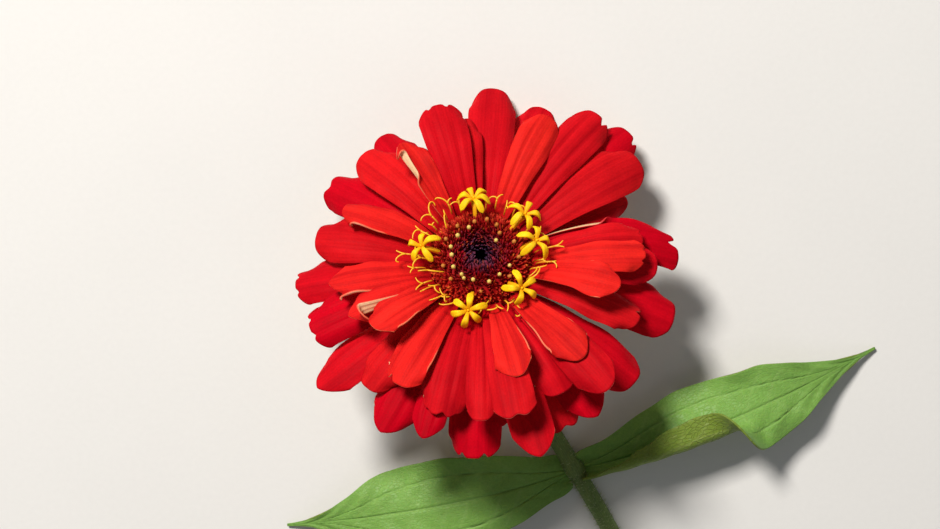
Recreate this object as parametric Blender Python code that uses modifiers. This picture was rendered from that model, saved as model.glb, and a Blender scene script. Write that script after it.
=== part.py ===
"""A cut zinnia, lying on a surface with its head turned up.

Three whorls of strap petals stand around a domed disc that carries six open star florets. A green
involucre closes the back of the head. The stem bends from the involucre down to the surface, carries
a pair of leaves where it lies, and ends in a plain cut.

Units are metres, +Z is up and the surface is z = 0. The origin is the middle of the bounding box's
bottom face.
"""

import math

import bmesh
import bpy
import numpy as np
from mathutils import Matrix, Vector
from mathutils.bvhtree import BVHTree

MM = 0.001

# ---- Driving dimensions ------------------------------------------------------------------------

HEAD_TILT = math.radians(28)  # how far the face leans from straight up, towards +Y
GAP = 0.3 * MM  # clearance between neighbouring pieces

PETAL_THICKNESS = 0.45 * MM
PETAL_ROWS = 8
PETAL_COLUMNS = 4
CLAW_SHARE = 0.34  # width of a petal's root, as a share of its widest
TIP_SHARE = 0.74  # width of its last row
WIDEST_AT = 0.68  # where along its length it is widest
PETAL_FULLNESS = 3.0  # how square the outline is past its widest, 2 being round
TIP_ROUND = 0.20  # how far the corners of the tip fall back, as a share of the width
TIP_ROUND_POWER = 6  # how much of that fall stays near the tip
CLAW_EASE = 0.95  # how quickly a petal or leaf widens from its root, 1 being a plain sine
CLIMB_STEP = 0.35 * MM  # how much a petal's tip rises at each try to clear the petals under it
ROOT_CLIMB = 0.25  # share of that rise which its root makes too
MOST_TRIES = 60

DISC_STEPS = 36
# Disc profile, mm: radius and height over the plane of the inner petals' roots.
DISC_PROFILE = [
    (0, 1.7),
    (1.0, 1.9),
    (2.1, 3.3),
    (4.6, 4.5),
    (7.0, 3.8),
    (8.8, 2.2),
    (9.3, 0.8),
    (9.0, -0.6),
    (0, -0.6),
]
# Involucre profile, mm: the receptacle inside the petals' roots, the rim of the cup, and its back.
INVOLUCRE_PROFILE = [
    (0, -0.9),
    (8.3, -0.9),
    (8.5, -4.6),
    (10.3, -5.0),
    (10.6, -6.0),
    (9.8, -8.8),
    (7.2, -11.6),
    (3.4, -13.5),
    (2.5, -14.2),
    (0, -14.2),
]
TURN_MERGE = 0.01 * MM  # points of a profile nearer than this to the axis become one

STEM_RADIUS = 1.8 * MM
NECK_HANDLE = 6.5 * MM  # how stiffly the neck leaves the head
HANDLE_SHARE = 1 / 3  # how far the other knots' handles reach towards their neighbours
STEM_CURVE_STEPS = 5
STEM_BEVEL_STEPS = 3
# Where the stem lies, mm from the point under the middle of the head: the end of the neck, the node, one
# more, and the cut.
STEM_ROUTE = [(5.5, -21.0), (19.6, -45.0), (26.0, -56.0), (36.0, -75.0)]
NODE_INDEX = 1

LEAF_THICKNESS = 0.5 * MM
LEAF_ROWS = 12
LEAF_COLUMNS = 6
LEAF_ROOT_SHARE = 0.30
LEAF_TIP_SHARE = 0.20
LEAF_WIDEST_AT = 0.42
LEAF_FULLNESS = 1.35
LEAF_ARCH_POWER = 0.8  # below 1, the arch is highest nearer the root
LEAF_WAVES = 1.6  # waves of the edge along its length
LEAF_WAVE_LAG = 0.25  # how far one edge's waves lag behind the middle's
LEAF_BEND_START = 0.3  # share of the length over which the leaf first bends the other way

# Whorl: radius and height of the roots, height of the tips, and how far the length arches up, in mm.
WHORLS = {
    "outer": (9.3, -3.6, -6.0, 2.2),
    "middle": (9.8, -1.8, -1.5, 2.6),
    "inner": (9.9, 0.0, 2.0, 2.0),
}

# Petal: azimuth in degrees from +X, reach and width in mm, then roll in degrees, sideways sweep in mm, and
# cup, which is how far the edges stand above the middle, in mm.
PETALS = {
    "outer": [
        (31, 33.0, 8.5, -8, 0.0, -0.5),
        (18, 39.5, 9.5, 10, -8.5, -0.8),
        (43, 41.0, 8.5, 6, 0.5, -0.6),
        (71, 38.0, 8.5, -4, 0.0, -0.5),
        (122, 35.5, 9.0, 5, 0.5, -0.5),
        (148, 35.5, 9.5, -8, -0.5, -0.7),
        (183, 36.0, 9.5, 6, 0.0, -0.6),
        (200, 35.0, 10.0, -5, 0.5, -0.8),
        (218, 39.0, 9.0, 8, -0.8, -0.4),
        (240, 38.0, 9.5, -6, 0.0, -0.7),
        (252, 37.0, 8.5, 4, 0.5, -0.3),
        (268, 37.5, 10.5, 0, 0.0, -0.8),
        (279, 32.5, 8.0, -4, 0.0, -0.4),
        (285, 41.0, 8.5, 6, 0.6, -0.3),
        (297, 35.5, 9.0, -6, 0.0, -0.5),
        (307, 37.5, 9.0, 5, -0.5, -0.5),
        (322, 37.0, 10.0, -8, 0.5, -0.6),
        (348, 38.5, 10.5, 4, -1.0, -0.8),
        (359, 34.0, 8.5, 0, 0.0, -0.4),
    ],
    "middle": [
        (8, 31.5, 7.2, 10, -0.5, -0.4),
        (37, 38.0, 10.2, 8, -1.0, -0.7),
        (54, 38.0, 9.0, 10, -1.2, -0.6),
        (85, 38.0, 9.8, 0, 0.5, -0.8),
        (97, 30.0, 7.0, -6, 0.0, -0.3),
        (105, 32.0, 9.5, 0, 0.0, -0.5),
        (133, 33.0, 9.5, -6, 0.5, -0.6),
        (169, 32.5, 10.0, -4, 0.0, -0.7),
        (229, 33.0, 8.5, 6, 0.0, -0.4),
        (255, 32.5, 10.0, -4, 0.5, -0.9),
        (270, 33.8, 7.8, 0, 0.0, -0.4),
        (281, 35.0, 9.0, 4, 0.0, -0.6),
        (298, 31.5, 9.0, -4, 0.5, -0.6),
        (310, 37.0, 8.5, 6, 0.0, -0.5),
        (338, 32.5, 7.5, -10, 0.5, -0.5),
    ],
    "inner": [
        (-2, 31.5, 6.6, -6, 0.8, -0.5),
        (67, 31.3, 8.0, 14, -1.2, -0.5),
        (124, 27.5, 6.0, 10, 0.0, 1.0),
        (156, 28.5, 7.0, 16, 0.8, -0.5),
        (191, 29.5, 7.5, 12, -0.5, -0.4),
        (208, 28.0, 7.0, 18, -0.8, 0.5),
        (218, 26.0, 7.5, 12, 0.0, -0.4),
        (237, 30.5, 8.5, 8, 0.8, -0.8),
        (285, 27.5, 6.4, -6, 0.0, 0.5),
        (309, 29.5, 7.0, 8, 0.6, 0.6),
        (345, 27.5, 6.8, -8, -0.6, 0.5),
    ],
}

# Star floret: azimuth and radius of its middle (degrees, mm), number of lobes, and turn about its own axis
# (degrees).
STARS = [
    (97, 11.0, 6, 14),
    (42, 11.5, 5, 30),
    (9, 10.8, 5, 80),
    (-47, 11.4, 5, 20),
    (-101, 12.4, 6, 0),
    (175, 11.4, 5, 60),
]
STAR_HEIGHT = 5.8 * MM
STAR_LEAN = math.radians(24)  # how far a star's face leans outward from the head's face
STAR_FOOT = (8.0 * MM, 3.7 * MM)  # radius and height where the tube stands on the disc
STAR_LOBE = 4.0 * MM  # from the star's middle to a lobe's tip
STAR_LOBE_FLANK = (2.8 * MM, 0.85 * MM)  # how far out a lobe is widest, and its half width there
STAR_VALLEY = 0.95 * MM
STAR_THICKNESS = 0.6 * MM
STAR_RECURVE = (0.5, 0.9 * MM)  # share of the way out where a lobe starts to bend down, and its slope
STAR_BEVEL = 0.96  # size of a star's top, as a share of its underside
STAR_TUBE_RADIUS = 0.5 * MM
STAR_THROAT = (1.2, 0.8 * MM)  # radius of the throat, as a share of the tube's, and how far under the star
STAR_MIDDLE = (0.8, 0.15 * MM)  # the same for the ring in the middle of its top, and how far over the star

# Leaf: azimuth, length and width (degrees, mm), arch and edge wave (mm), roll (degrees), sideways bend (mm).
LEAVES = {
    "leaf_right": (20, 63.0, 18.5, 7.0, 2.2, -18, 4.0),
    "leaf_left": (193, 57.0, 19.0, 6.0, 1.8, 12, -3.0),
}

# ---- Materials ---------------------------------------------------------------------------------

COLOURS = {
    "petal_red": ((0.72, 0.012, 0.018), 0.55),
    "disc_maroon": ((0.12, 0.008, 0.012), 0.75),
    "floret_yellow": ((0.93, 0.55, 0.01), 0.55),
    "involucre_green": ((0.11, 0.20, 0.04), 0.7),
    "stem_green": ((0.10, 0.19, 0.03), 0.65),
    "leaf_green": ((0.15, 0.30, 0.07), 0.6),
}


def make_material(name):
    """A Principled material with the sub-part's colour and roughness."""
    colour, roughness = COLOURS[name]
    material = bpy.data.materials.new(name)
    material.use_nodes = True
    shader = material.node_tree.nodes["Principled BSDF"]
    shader.inputs["Base Color"].default_value = (*colour, 1.0)
    shader.inputs["Roughness"].default_value = roughness
    shader.inputs["Metallic"].default_value = 0.0
    return material


# ---- Shared helpers ----------------------------------------------------------------------------


def clear_scene():
    """Remove every object that the file opened with."""
    for item in list(bpy.data.objects):
        bpy.data.objects.remove(item, do_unlink=True)


def add_object(name, mesh, material, parent):
    """A named object in the flower's collection, with its material and its parent."""
    part = bpy.data.objects.new(name, mesh)
    part.data.materials.append(material)
    part.parent = parent
    flower.objects.link(part)
    return part


def add_empty(name, parent=None):
    """An empty that carries other pieces."""
    empty = bpy.data.objects.new(name, None)
    empty.parent = parent
    flower.objects.link(empty)
    return empty


def ease(share):
    """Rises from 0 to 1 along a quarter of a sine, and stays at 1."""
    return math.sin(0.5 * math.pi * min(1.0, max(0.0, share)))


def outline(t, root, tip, widest_at, fullness):
    """Half width of a petal or leaf at t along its length, as a share of its widest half width."""
    if t < widest_at:
        return root + (1 - root) * ease(t / widest_at) ** CLAW_EASE
    past = (t - widest_at) / (1 - widest_at)
    return math.sqrt(max(tip * tip, 1 - (1 - tip * tip) * past**fullness))


def make_sheet(name, rows, columns, thickness, material, parent):
    """A flat grid of faces, thickened to both sides. Returns it with each vertex's place along and across."""
    bm = bmesh.new()
    bmesh.ops.create_grid(bm, x_segments=rows, y_segments=columns, size=1.0)
    places = [((vert.co.x + 1) / 2, vert.co.y) for vert in bm.verts]
    mesh = bpy.data.meshes.new(name)
    bm.to_mesh(mesh)
    bm.free()
    mesh.shade_smooth()
    sheet = add_object(name, mesh, material, parent)
    solidify = sheet.modifiers.new("thickness", "SOLIDIFY")
    solidify.thickness = thickness
    solidify.offset = 0.0
    return sheet, places


def bend_sheet(sheet, places, point_at):
    """Move the grid's vertices to where point_at puts them."""
    coordinates = np.array([point_at(t, v) for t, v in places], np.float32)
    sheet.data.vertices.foreach_set("co", coordinates.ravel())
    sheet.data.update()


def solid_tree(part):
    """A search tree of the object's evaluated faces, in its parent's space."""
    bpy.context.view_layer.update()
    return BVHTree.FromObject(part, bpy.context.evaluated_depsgraph_get())


def turned(name, profile, material, parent):
    """A solid turned about the head's axis. The profile runs from the top of the axis to its bottom."""
    bm = bmesh.new()
    verts = [bm.verts.new((radius * MM, 0, height * MM)) for radius, height in profile]
    for first, second in zip(verts, verts[1:]):
        bm.edges.new((first, second))
    mesh = bpy.data.meshes.new(name)
    bm.to_mesh(mesh)
    bm.free()
    part = add_object(name, mesh, material, parent)
    screw = part.modifiers.new("turn", "SCREW")
    screw.steps = DISC_STEPS
    screw.render_steps = DISC_STEPS
    screw.use_merge_vertices = True
    screw.merge_threshold = TURN_MERGE
    screw.use_smooth_shade = True
    return part


# ---- Petals ------------------------------------------------------------------------------------


def petal_shape(whorl, petal, climb):
    """The function that places a petal's grid in the head's frame."""
    root_radius, root_height, tip_height, arch = (value * MM for value in WHORLS[whorl])
    azimuth, reach, width, roll, sweep, cup = petal
    radial = Matrix.Rotation(math.radians(azimuth), 3, "Z") @ Vector((1, 0, 0))
    across = Matrix.Rotation(math.radians(azimuth), 3, "Z") @ Vector((0, 1, 0))
    root_height += ROOT_CLIMB * climb
    tip_height += climb

    def point_at(t, v):
        share = outline(t, CLAW_SHARE, TIP_SHARE, WIDEST_AT, PETAL_FULLNESS)
        side = 0.5 * width * MM * share * v
        twist = math.radians(roll) * t
        radius = root_radius + (reach * MM - root_radius) * t
        radius -= TIP_ROUND * width * MM * v * v * t**TIP_ROUND_POWER
        height = root_height + (tip_height - root_height) * t + arch * 4 * t * (1 - t)
        height += side * math.sin(twist) + cup * MM * (share * v) ** 2
        sideways = side * math.cos(twist) + sweep * MM * t * t
        return radial * radius + across * sideways + Vector((0, 0, height))

    return point_at


def touches(sheet, trees):
    """Whether the sheet, with the gap added on both sides, meets a piece already in place."""
    solidify = sheet.modifiers["thickness"]
    solidify.thickness = PETAL_THICKNESS + 2 * GAP
    tree = solid_tree(sheet)
    solidify.thickness = PETAL_THICKNESS
    return any(tree.overlap(other) for other in trees)


def make_petals(head, placed):
    """Every whorl from the outside in. Each petal climbs until it lies clear of the ones under it."""
    material = make_material("petal_red")
    petals = []
    for whorl, rows in PETALS.items():
        for number, row in enumerate(rows, 1):
            name = f"petal_{whorl}_{number:02d}"
            petal, places = make_sheet(name, PETAL_ROWS, PETAL_COLUMNS, PETAL_THICKNESS, material, head)
            for attempt in range(MOST_TRIES):
                bend_sheet(petal, places, petal_shape(whorl, row, attempt * CLIMB_STEP))
                if not touches(petal, placed):
                    break
            placed.append(solid_tree(petal))
            petals.append(petal)
    return petals


# ---- Star florets ------------------------------------------------------------------------------


def star_outline(lobes, turn):
    """A star's outline, four points a lobe: flank, tip, flank and valley. Each comes with how far out it is."""
    flank_out, flank_side = STAR_LOBE_FLANK
    flank_angle = math.atan2(flank_side, flank_out)
    flank_radius = math.hypot(flank_out, flank_side)
    points = []
    for lobe in range(lobes):
        middle = turn + 2 * math.pi * lobe / lobes
        corners = [
            (-flank_angle, flank_radius),
            (0.0, STAR_LOBE),
            (flank_angle, flank_radius),
            (math.pi / lobes, STAR_VALLEY),
        ]
        for angle, radius in corners:
            spot = Vector((radius * math.cos(middle + angle), radius * math.sin(middle + angle), 0))
            points.append((spot, radius / STAR_LOBE))
    return points


def ring(outline_points, radius):
    """A circle with one point below each point of the star's outline."""
    return [spot.normalized() * radius for spot, _ in outline_points]


def loft(name, rings, material, parent):
    """A closed body through rings with the same number of points, capped at both ends."""
    bm = bmesh.new()
    loops = [[bm.verts.new(point) for point in points] for points in rings]
    count = len(loops[0])
    for lower, upper in zip(loops, loops[1:]):
        for i in range(count):
            j = (i + 1) % count
            bm.faces.new((lower[i], lower[j], upper[j], upper[i]))
    bm.faces.new(reversed(loops[0]))
    bm.faces.new(loops[-1])
    bmesh.ops.recalc_face_normals(bm, faces=bm.faces)
    mesh = bpy.data.meshes.new(name)
    bm.to_mesh(mesh)
    bm.free()
    mesh.shade_smooth()
    return add_object(name, mesh, material, parent)


def star_rings(star, climb):
    """The rings of one star floret in the head's frame: tube foot, throat, underside, top and middle."""
    azimuth, radius, lobes, turn = star
    points = star_outline(lobes, math.radians(turn))
    spin = Matrix.Rotation(math.radians(azimuth), 4, "Z")
    face = spin @ Matrix.Translation((radius * MM, 0, STAR_HEIGHT + climb))
    face = face @ Matrix.Rotation(STAR_LEAN, 4, "Y")
    foot_radius, foot_height = STAR_FOOT
    centre = face.translation
    foot = spin @ Vector((foot_radius, 0, foot_height))
    along = (centre - foot).normalized()
    upright = Vector((0, 0, 1)).rotation_difference(along).to_matrix().to_4x4()
    tube = Matrix.Translation(foot) @ upright @ spin
    lift = Vector((0, 0, 1))
    half = lift * 0.5 * STAR_THICKNESS
    bend_start, slope = STAR_RECURVE
    recurve = [lift * -slope * max(0.0, out - bend_start) for _, out in points]
    under = [spot - half + drop for (spot, _), drop in zip(points, recurve)]
    top = [spot * STAR_BEVEL + half + drop for (spot, _), drop in zip(points, recurve)]
    throat_share, throat_depth = STAR_THROAT
    middle_share, middle_rise = STAR_MIDDLE
    throat = [point - lift * throat_depth for point in ring(points, throat_share * STAR_TUBE_RADIUS)]
    middle = [point + lift * middle_rise for point in ring(points, middle_share * STAR_TUBE_RADIUS)]
    return [
        [tube @ point for point in ring(points, STAR_TUBE_RADIUS)],
        [face @ point for point in throat],
        [face @ point for point in under],
        [face @ point for point in top],
        [face @ point for point in middle],
    ]


def make_stars(head, placed):
    """Six open disc florets around the rim of the disc, each raised until it clears the petals' roots."""
    material = make_material("floret_yellow")
    for number, star in enumerate(STARS, 1):
        name = f"star_floret_{number}"
        for attempt in range(MOST_TRIES):
            floret = loft(name, star_rings(star, attempt * CLIMB_STEP), material, head)
            tree = solid_tree(floret)
            if not any(tree.overlap(other) for other in placed):
                break
            bpy.data.meshes.remove(floret.data)
        placed.append(tree)


# ---- Disc, involucre, stem and leaves ----------------------------------------------------------


def rest_head(head, petals):
    """Lower or raise the head until its lowest petal lies on the surface."""
    bpy.context.view_layer.update()
    graph = bpy.context.evaluated_depsgraph_get()
    lowest = []
    for petal in petals:
        solid = petal.evaluated_get(graph).data
        lowest.append(min((petal.matrix_world @ vert.co).z for vert in solid.vertices))
    head.location.z -= min(lowest)
    bpy.context.view_layer.update()


def make_stem(head, root):
    """The stem from the back of the involucre, bent down to the surface and along it to the cut."""
    back = head.matrix_world @ Vector((0, 0, INVOLUCRE_PROFILE[-1][1] * MM - GAP))
    down = head.matrix_world.to_3x3() @ Vector((0, 0, -1))
    points = [back, *(Vector((x * MM, y * MM, STEM_RADIUS)) for x, y in STEM_ROUTE)]
    curve = bpy.data.curves.new("stem", "CURVE")
    curve.dimensions = "3D"
    curve.resolution_u = STEM_CURVE_STEPS
    curve.bevel_depth = STEM_RADIUS
    curve.bevel_resolution = STEM_BEVEL_STEPS
    curve.use_fill_caps = True
    spline = curve.splines.new("BEZIER")
    spline.bezier_points.add(len(points) - 1)
    last = len(points) - 1
    for index, knot in enumerate(spline.bezier_points):
        point = points[index]
        before = points[max(0, index - 1)]
        after = points[min(last, index + 1)]
        level = Vector((after.x - before.x, after.y - before.y, 0)).normalized()
        knot.co = point
        knot.handle_left = point - level * (point - before).length * HANDLE_SHARE
        knot.handle_right = point + level * (after - point).length * HANDLE_SHARE
    spline.bezier_points[0].handle_right = back + down * NECK_HANDLE
    return add_object("stem", curve, make_material("stem_green"), root)


def leaf_shape(leaf):
    """The function that places a leaf's grid, from the stem's side out to its tip on the surface."""
    azimuth, length, width, arch, wave, roll, bend = leaf
    spin = Matrix.Rotation(math.radians(azimuth), 3, "Z")
    node = Vector((*STEM_ROUTE[NODE_INDEX], 0)) * MM
    after = Vector((*STEM_ROUTE[NODE_INDEX + 1], 0)) * MM
    before = Vector((*STEM_ROUTE[NODE_INDEX - 1], 0)) * MM
    stem_way = (after - before).normalized()
    outward = spin @ Vector((1, 0, 0))
    skew = abs(outward.dot(stem_way))
    half_root = 0.5 * width * LEAF_ROOT_SHARE * MM
    start = STEM_RADIUS + GAP + 0.5 * LEAF_THICKNESS + half_root * skew

    def point_at(t, v):
        share = outline(t, LEAF_ROOT_SHARE, LEAF_TIP_SHARE, LEAF_WIDEST_AT, LEAF_FULLNESS)
        side = 0.5 * width * MM * share * v
        twist = math.radians(roll) * math.sin(math.pi * t)
        along = start + length * MM * t
        rise = STEM_RADIUS * (1 - t) + arch * MM * math.sin(math.pi * t**LEAF_ARCH_POWER)
        rise += wave * MM * share * v * v * math.sin(2 * math.pi * (LEAF_WAVES * t + LEAF_WAVE_LAG * v))
        sideways = side * math.cos(twist) + bend * MM * (t * t - t * LEAF_BEND_START)
        return node + spin @ Vector((along, sideways, rise + side * math.sin(twist)))

    return point_at


def make_leaves(root):
    """The pair of leaves at the stem's node, each lowered until it lies on the surface."""
    material = make_material("leaf_green")
    for name, leaf in LEAVES.items():
        sheet, places = make_sheet(name, LEAF_ROWS, LEAF_COLUMNS, LEAF_THICKNESS, material, root)
        bend_sheet(sheet, places, leaf_shape(leaf))
        bpy.context.view_layer.update()
        solid = sheet.evaluated_get(bpy.context.evaluated_depsgraph_get()).data
        sheet.location.z = -min(vert.co.z for vert in solid.vertices)


def centre_on_origin(root):
    """Put the middle of the bounding box's bottom face on the origin."""
    bpy.context.view_layer.update()
    graph = bpy.context.evaluated_depsgraph_get()
    corners = []
    for part in flower.objects:
        if part.type == "EMPTY":
            continue
        mesh = part.evaluated_get(graph).to_mesh()
        corners += [part.matrix_world @ vert.co for vert in mesh.vertices]
        part.evaluated_get(graph).to_mesh_clear()
    places = np.array(corners)
    low, high = places.min(axis=0), places.max(axis=0)
    root.location = (-(low[0] + high[0]) / 2, -(low[1] + high[1]) / 2, -low[2])
    bpy.context.view_layer.update()


clear_scene()
flower = bpy.data.collections.new("zinnia_flower")
bpy.context.scene.collection.children.link(flower)
whole = add_empty("whole_flower")
flower_head = add_empty("flower_head", whole)
flower_head.rotation_euler.x = -HEAD_TILT

disc = turned("disc", DISC_PROFILE, make_material("disc_maroon"), flower_head)
involucre = turned("involucre", INVOLUCRE_PROFILE, make_material("involucre_green"), flower_head)
in_place = [solid_tree(disc), solid_tree(involucre)]
all_petals = make_petals(flower_head, in_place)
make_stars(flower_head, in_place)
rest_head(flower_head, all_petals)
make_stem(flower_head, whole)
make_leaves(whole)
centre_on_origin(whole)
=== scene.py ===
# %% [markdown]
# # A red zinnia, cut and laid down
# The flower comes with a plain frame: one solid for each petal, star floret and leaf, with the right size
# and place. This lesson gives each of them its living surface. It takes the middle surface of each plain
# solid and draws a finer skin along it, so nothing moves and nothing has to be fitted afterwards.

# %% The frame
import math
import random

import bmesh
import bpy
import numpy as np
from mathutils import Matrix, Vector


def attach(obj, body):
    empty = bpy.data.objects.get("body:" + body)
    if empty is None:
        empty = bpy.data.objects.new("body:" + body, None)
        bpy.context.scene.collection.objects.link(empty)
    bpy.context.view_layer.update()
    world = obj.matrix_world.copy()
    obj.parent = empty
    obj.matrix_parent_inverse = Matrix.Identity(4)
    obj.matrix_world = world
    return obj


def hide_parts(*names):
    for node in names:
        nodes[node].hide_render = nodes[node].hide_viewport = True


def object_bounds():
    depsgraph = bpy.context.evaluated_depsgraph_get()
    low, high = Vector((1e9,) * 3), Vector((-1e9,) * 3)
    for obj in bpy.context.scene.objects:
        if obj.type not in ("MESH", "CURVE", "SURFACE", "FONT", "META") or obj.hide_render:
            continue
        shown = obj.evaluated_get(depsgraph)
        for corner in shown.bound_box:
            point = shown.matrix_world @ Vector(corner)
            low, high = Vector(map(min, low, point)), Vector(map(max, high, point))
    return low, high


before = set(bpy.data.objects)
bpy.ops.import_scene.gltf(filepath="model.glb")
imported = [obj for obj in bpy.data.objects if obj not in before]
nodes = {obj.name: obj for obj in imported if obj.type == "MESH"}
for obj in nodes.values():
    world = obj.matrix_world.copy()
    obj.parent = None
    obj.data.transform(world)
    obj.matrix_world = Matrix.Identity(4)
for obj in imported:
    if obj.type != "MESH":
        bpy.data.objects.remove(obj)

MM = 0.001
frame_low, frame_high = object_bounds()
print("parts:", len(nodes), "box in mm:", [round(side / MM, 1) for side in frame_high - frame_low])

# %% [markdown]
# The head of the flower is turned about one line, its axis. A part's triangles meet at shared corners once
# doubles are joined, and the disc's corners lie evenly round the axis. So the direction in which those
# corners spread least is the way the flower faces. Every other place on the head is then said the way a
# botanist would: how far round, how far out and how high.

# %% The head's own axes
def joined(node):
    """A part's mesh with its doubled corners joined."""
    work = bmesh.new()
    work.from_mesh(nodes[node].data)
    bmesh.ops.remove_doubles(work, verts=work.verts, dist=0.01 * MM)
    return work


def corner_points(node):
    """The corners of a part, one row each."""
    work = joined(node)
    points = np.array([corner.co[:] for corner in work.verts])
    work.free()
    return points


def unit(vectors):
    """The same directions with a length of one."""
    return vectors / np.maximum(np.linalg.norm(vectors, axis=-1, keepdims=True), 1e-12)


def main_axes(points):
    """The directions in which points spread least, more and most, as rows."""
    return np.linalg.eigh(np.cov((points - points.mean(axis=0)).T))[1].T


RIM_ABOVE_DISC_FOOT = 0.6 * MM
disc_points = corner_points("disc")
face_way = main_axes(disc_points)[0]
face_way = face_way * np.sign(face_way[2])
right_way = unit(np.cross(np.cross(face_way, (1, 0, 0)), face_way))
head_axes = np.array([right_way, np.cross(face_way, right_way), face_way])
disc_heights = (disc_points - disc_points.mean(axis=0)) @ face_way
head_origin = disc_points.mean(axis=0) + face_way * (disc_heights.min() + RIM_ABOVE_DISC_FOOT)
print("the head faces", np.round(face_way, 3), "from", np.round(head_origin / MM, 1))


# %% Places on the head
def from_head(points):
    """Points given along the head's own axes, moved to their place in the frame."""
    return head_origin + np.asarray(points) @ head_axes


def to_head(points):
    """The other way round: the head's own measures of points in the frame."""
    return (np.asarray(points) - head_origin) @ head_axes.T


def round_head(azimuth, radius, height):
    """A point from its angle round the head in degrees, its distance out and its height, in metres."""
    angle = math.radians(azimuth)
    return np.array([radius * math.cos(angle), radius * math.sin(angle), height])


def profile(node):
    """The outline of a turned part: rows of radius and height, from the lowest to the highest."""
    places = to_head(corner_points(node))
    pairs = {(round(math.hypot(x, y) / MM, 2), round(z / MM, 2)) for x, y, z in places}
    return np.array(sorted(pairs, key=lambda pair: pair[1])) * MM


print("disc outline in mm:", (profile("disc") / MM).tolist())

# %% [markdown]
# Two things carry nearly every shape here. A sheet is a grid of points, rows from root to tip and columns
# from edge to edge, drawn as a smooth surface through the frame's coarser grid. A tube is a pile of rings.
# Both are plain arrays, so a groove, a curl or a ruffled edge is a sum and not a sculpting session.

# %% Sheets
def smooth_pulls(places, count):
    """How hard each of count knots pulls at places from 0 to 1 along a curve that passes through them."""
    spots = places * (count - 1)
    whole = np.clip(np.floor(spots).astype(int), 0, count - 2)
    p = spots - whole
    pulls = np.zeros((len(places), count + 2))
    rows = np.arange(len(places))
    pulls[rows, whole] = -0.5 * p + p**2 - 0.5 * p**3
    pulls[rows, whole + 1] = 1 - 2.5 * p**2 + 1.5 * p**3
    pulls[rows, whole + 2] = 0.5 * p + 2 * p**2 - 1.5 * p**3
    pulls[rows, whole + 3] = -0.5 * p**2 + 0.5 * p**3
    pulls[:, 1] += 2 * pulls[:, 0]
    pulls[:, 2] -= pulls[:, 0]
    pulls[:, -2] += 2 * pulls[:, -1]
    pulls[:, -3] -= pulls[:, -1]
    return pulls[:, 1:-1]


def on_sheet(grid, along, across):
    """Points on the smooth surface through a grid, at places from 0 to 1 along and across it."""
    pull_along = smooth_pulls(along.ravel(), grid.shape[0])
    pull_across = smooth_pulls(across.ravel(), grid.shape[1])
    return np.einsum("ka,kb,abx->kx", pull_along, pull_across, grid).reshape(*along.shape, 3)


def middle_grid(points, rows, columns, onward, upward):
    """The middle surface of a sheet part's points: rows from root to tip, each from its right to its left."""
    side = np.cross(upward, onward)
    ordered = points[np.argsort(points @ onward)].reshape(rows, 2 * columns, 3)
    grid = []
    for row in ordered:
        row = row[np.argsort(row @ side)]
        grid.append((row[0::2] + row[1::2]) / 2)
    return np.array(grid)


def sheet_normals(points):
    """The way a sheet faces at each of its points."""
    return unit(np.cross(np.gradient(points, axis=0), np.gradient(points, axis=1)))


def sheet_faces(rows, columns):
    """Four-sided faces between neighbouring rows and columns."""
    starts = [row * columns + column for row in range(rows - 1) for column in range(columns - 1)]
    return [(start, start + columns, start + columns + 1, start + 1) for start in starts]


print("a sheet of 3 rows and 4 columns has", len(sheet_faces(3, 4)), "faces")


# %% Tubes
def ring_faces(rows, sides):
    """Faces of a tube of rings, with both ends closed."""
    faces = []
    for row in range(rows - 1):
        for side in range(sides):
            after = (side + 1) % sides
            low = row * sides
            faces.append((low + side, low + after, low + sides + after, low + sides + side))
    faces.append(tuple(reversed(range(sides))))
    faces.append(tuple(range((rows - 1) * sides, rows * sides)))
    return faces


def tube_rings(path, radii, sides):
    """Rings of points round a path. The radii may be one for each ring, or a row of one for each side."""
    path = np.asarray(path)
    ways = unit(np.gradient(path, axis=0))
    side = np.cross(ways[0], ways[0][[1, 2, 0]] + 0.1)
    angles = np.linspace(0, 2 * math.pi, sides, endpoint=False)
    rings = []
    for spot, way, radius in zip(path, ways, radii):
        side = unit(side - way * (side @ way))
        turn = np.outer(np.cos(angles), side) + np.outer(np.sin(angles), np.cross(way, side))
        rings.append(spot + turn * np.reshape(radius, (-1, 1)))
    return np.array(rings)


def tube(path, radii, sides, **values):
    """A closed tube as a shape: points, faces and values. Each value is one number for each ring."""
    rings = tube_rings(path, radii, sides)
    spread_values = {label: np.repeat(numbers, sides) for label, numbers in values.items()}
    return rings.reshape(-1, 3), ring_faces(len(rings), sides), spread_values


def heap(shapes):
    """Many shapes as one."""
    faces = []
    start = 0
    for points, own_faces, _ in shapes:
        faces += [tuple(corner + start for corner in face) for face in own_faces]
        start += len(points)
    labels = shapes[0][2].keys()
    values = {label: np.concatenate([np.ravel(shape[2][label]) for shape in shapes]) for label in labels}
    return np.concatenate([shape[0] for shape in shapes]), faces, values


print("a tube of 3 rings and 8 sides has", len(ring_faces(3, 8)), "faces")

# %% From shape to piece
def add_piece(name, shape, finishes, stands_for=(), thickness=0.0):
    """An object from a shape, with its finishes, riding on the flower and standing for parts of the frame."""
    points, faces, values = shape
    mesh = bpy.data.meshes.new(name)
    mesh.from_pydata(np.asarray(points).tolist(), [], faces)
    for label, numbers in values.items():
        mesh.attributes.new(label, "FLOAT", "POINT").data.foreach_set("value", np.float32(np.ravel(numbers)))
    for finish in finishes:
        mesh.materials.append(finish)
    mesh.shade_smooth()
    piece = bpy.data.objects.new(name, mesh)
    bpy.context.scene.collection.objects.link(piece)
    if thickness:
        solidify = piece.modifiers.new("thickness", "SOLIDIFY")
        solidify.thickness = thickness
        solidify.offset = 0.0
        solidify.material_offset = min(1, len(finishes) - 1)
        solidify.material_offset_rim = min(2, len(finishes) - 1)
    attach(piece, "root")
    if stands_for:
        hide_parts(*stands_for)
    return piece


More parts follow.
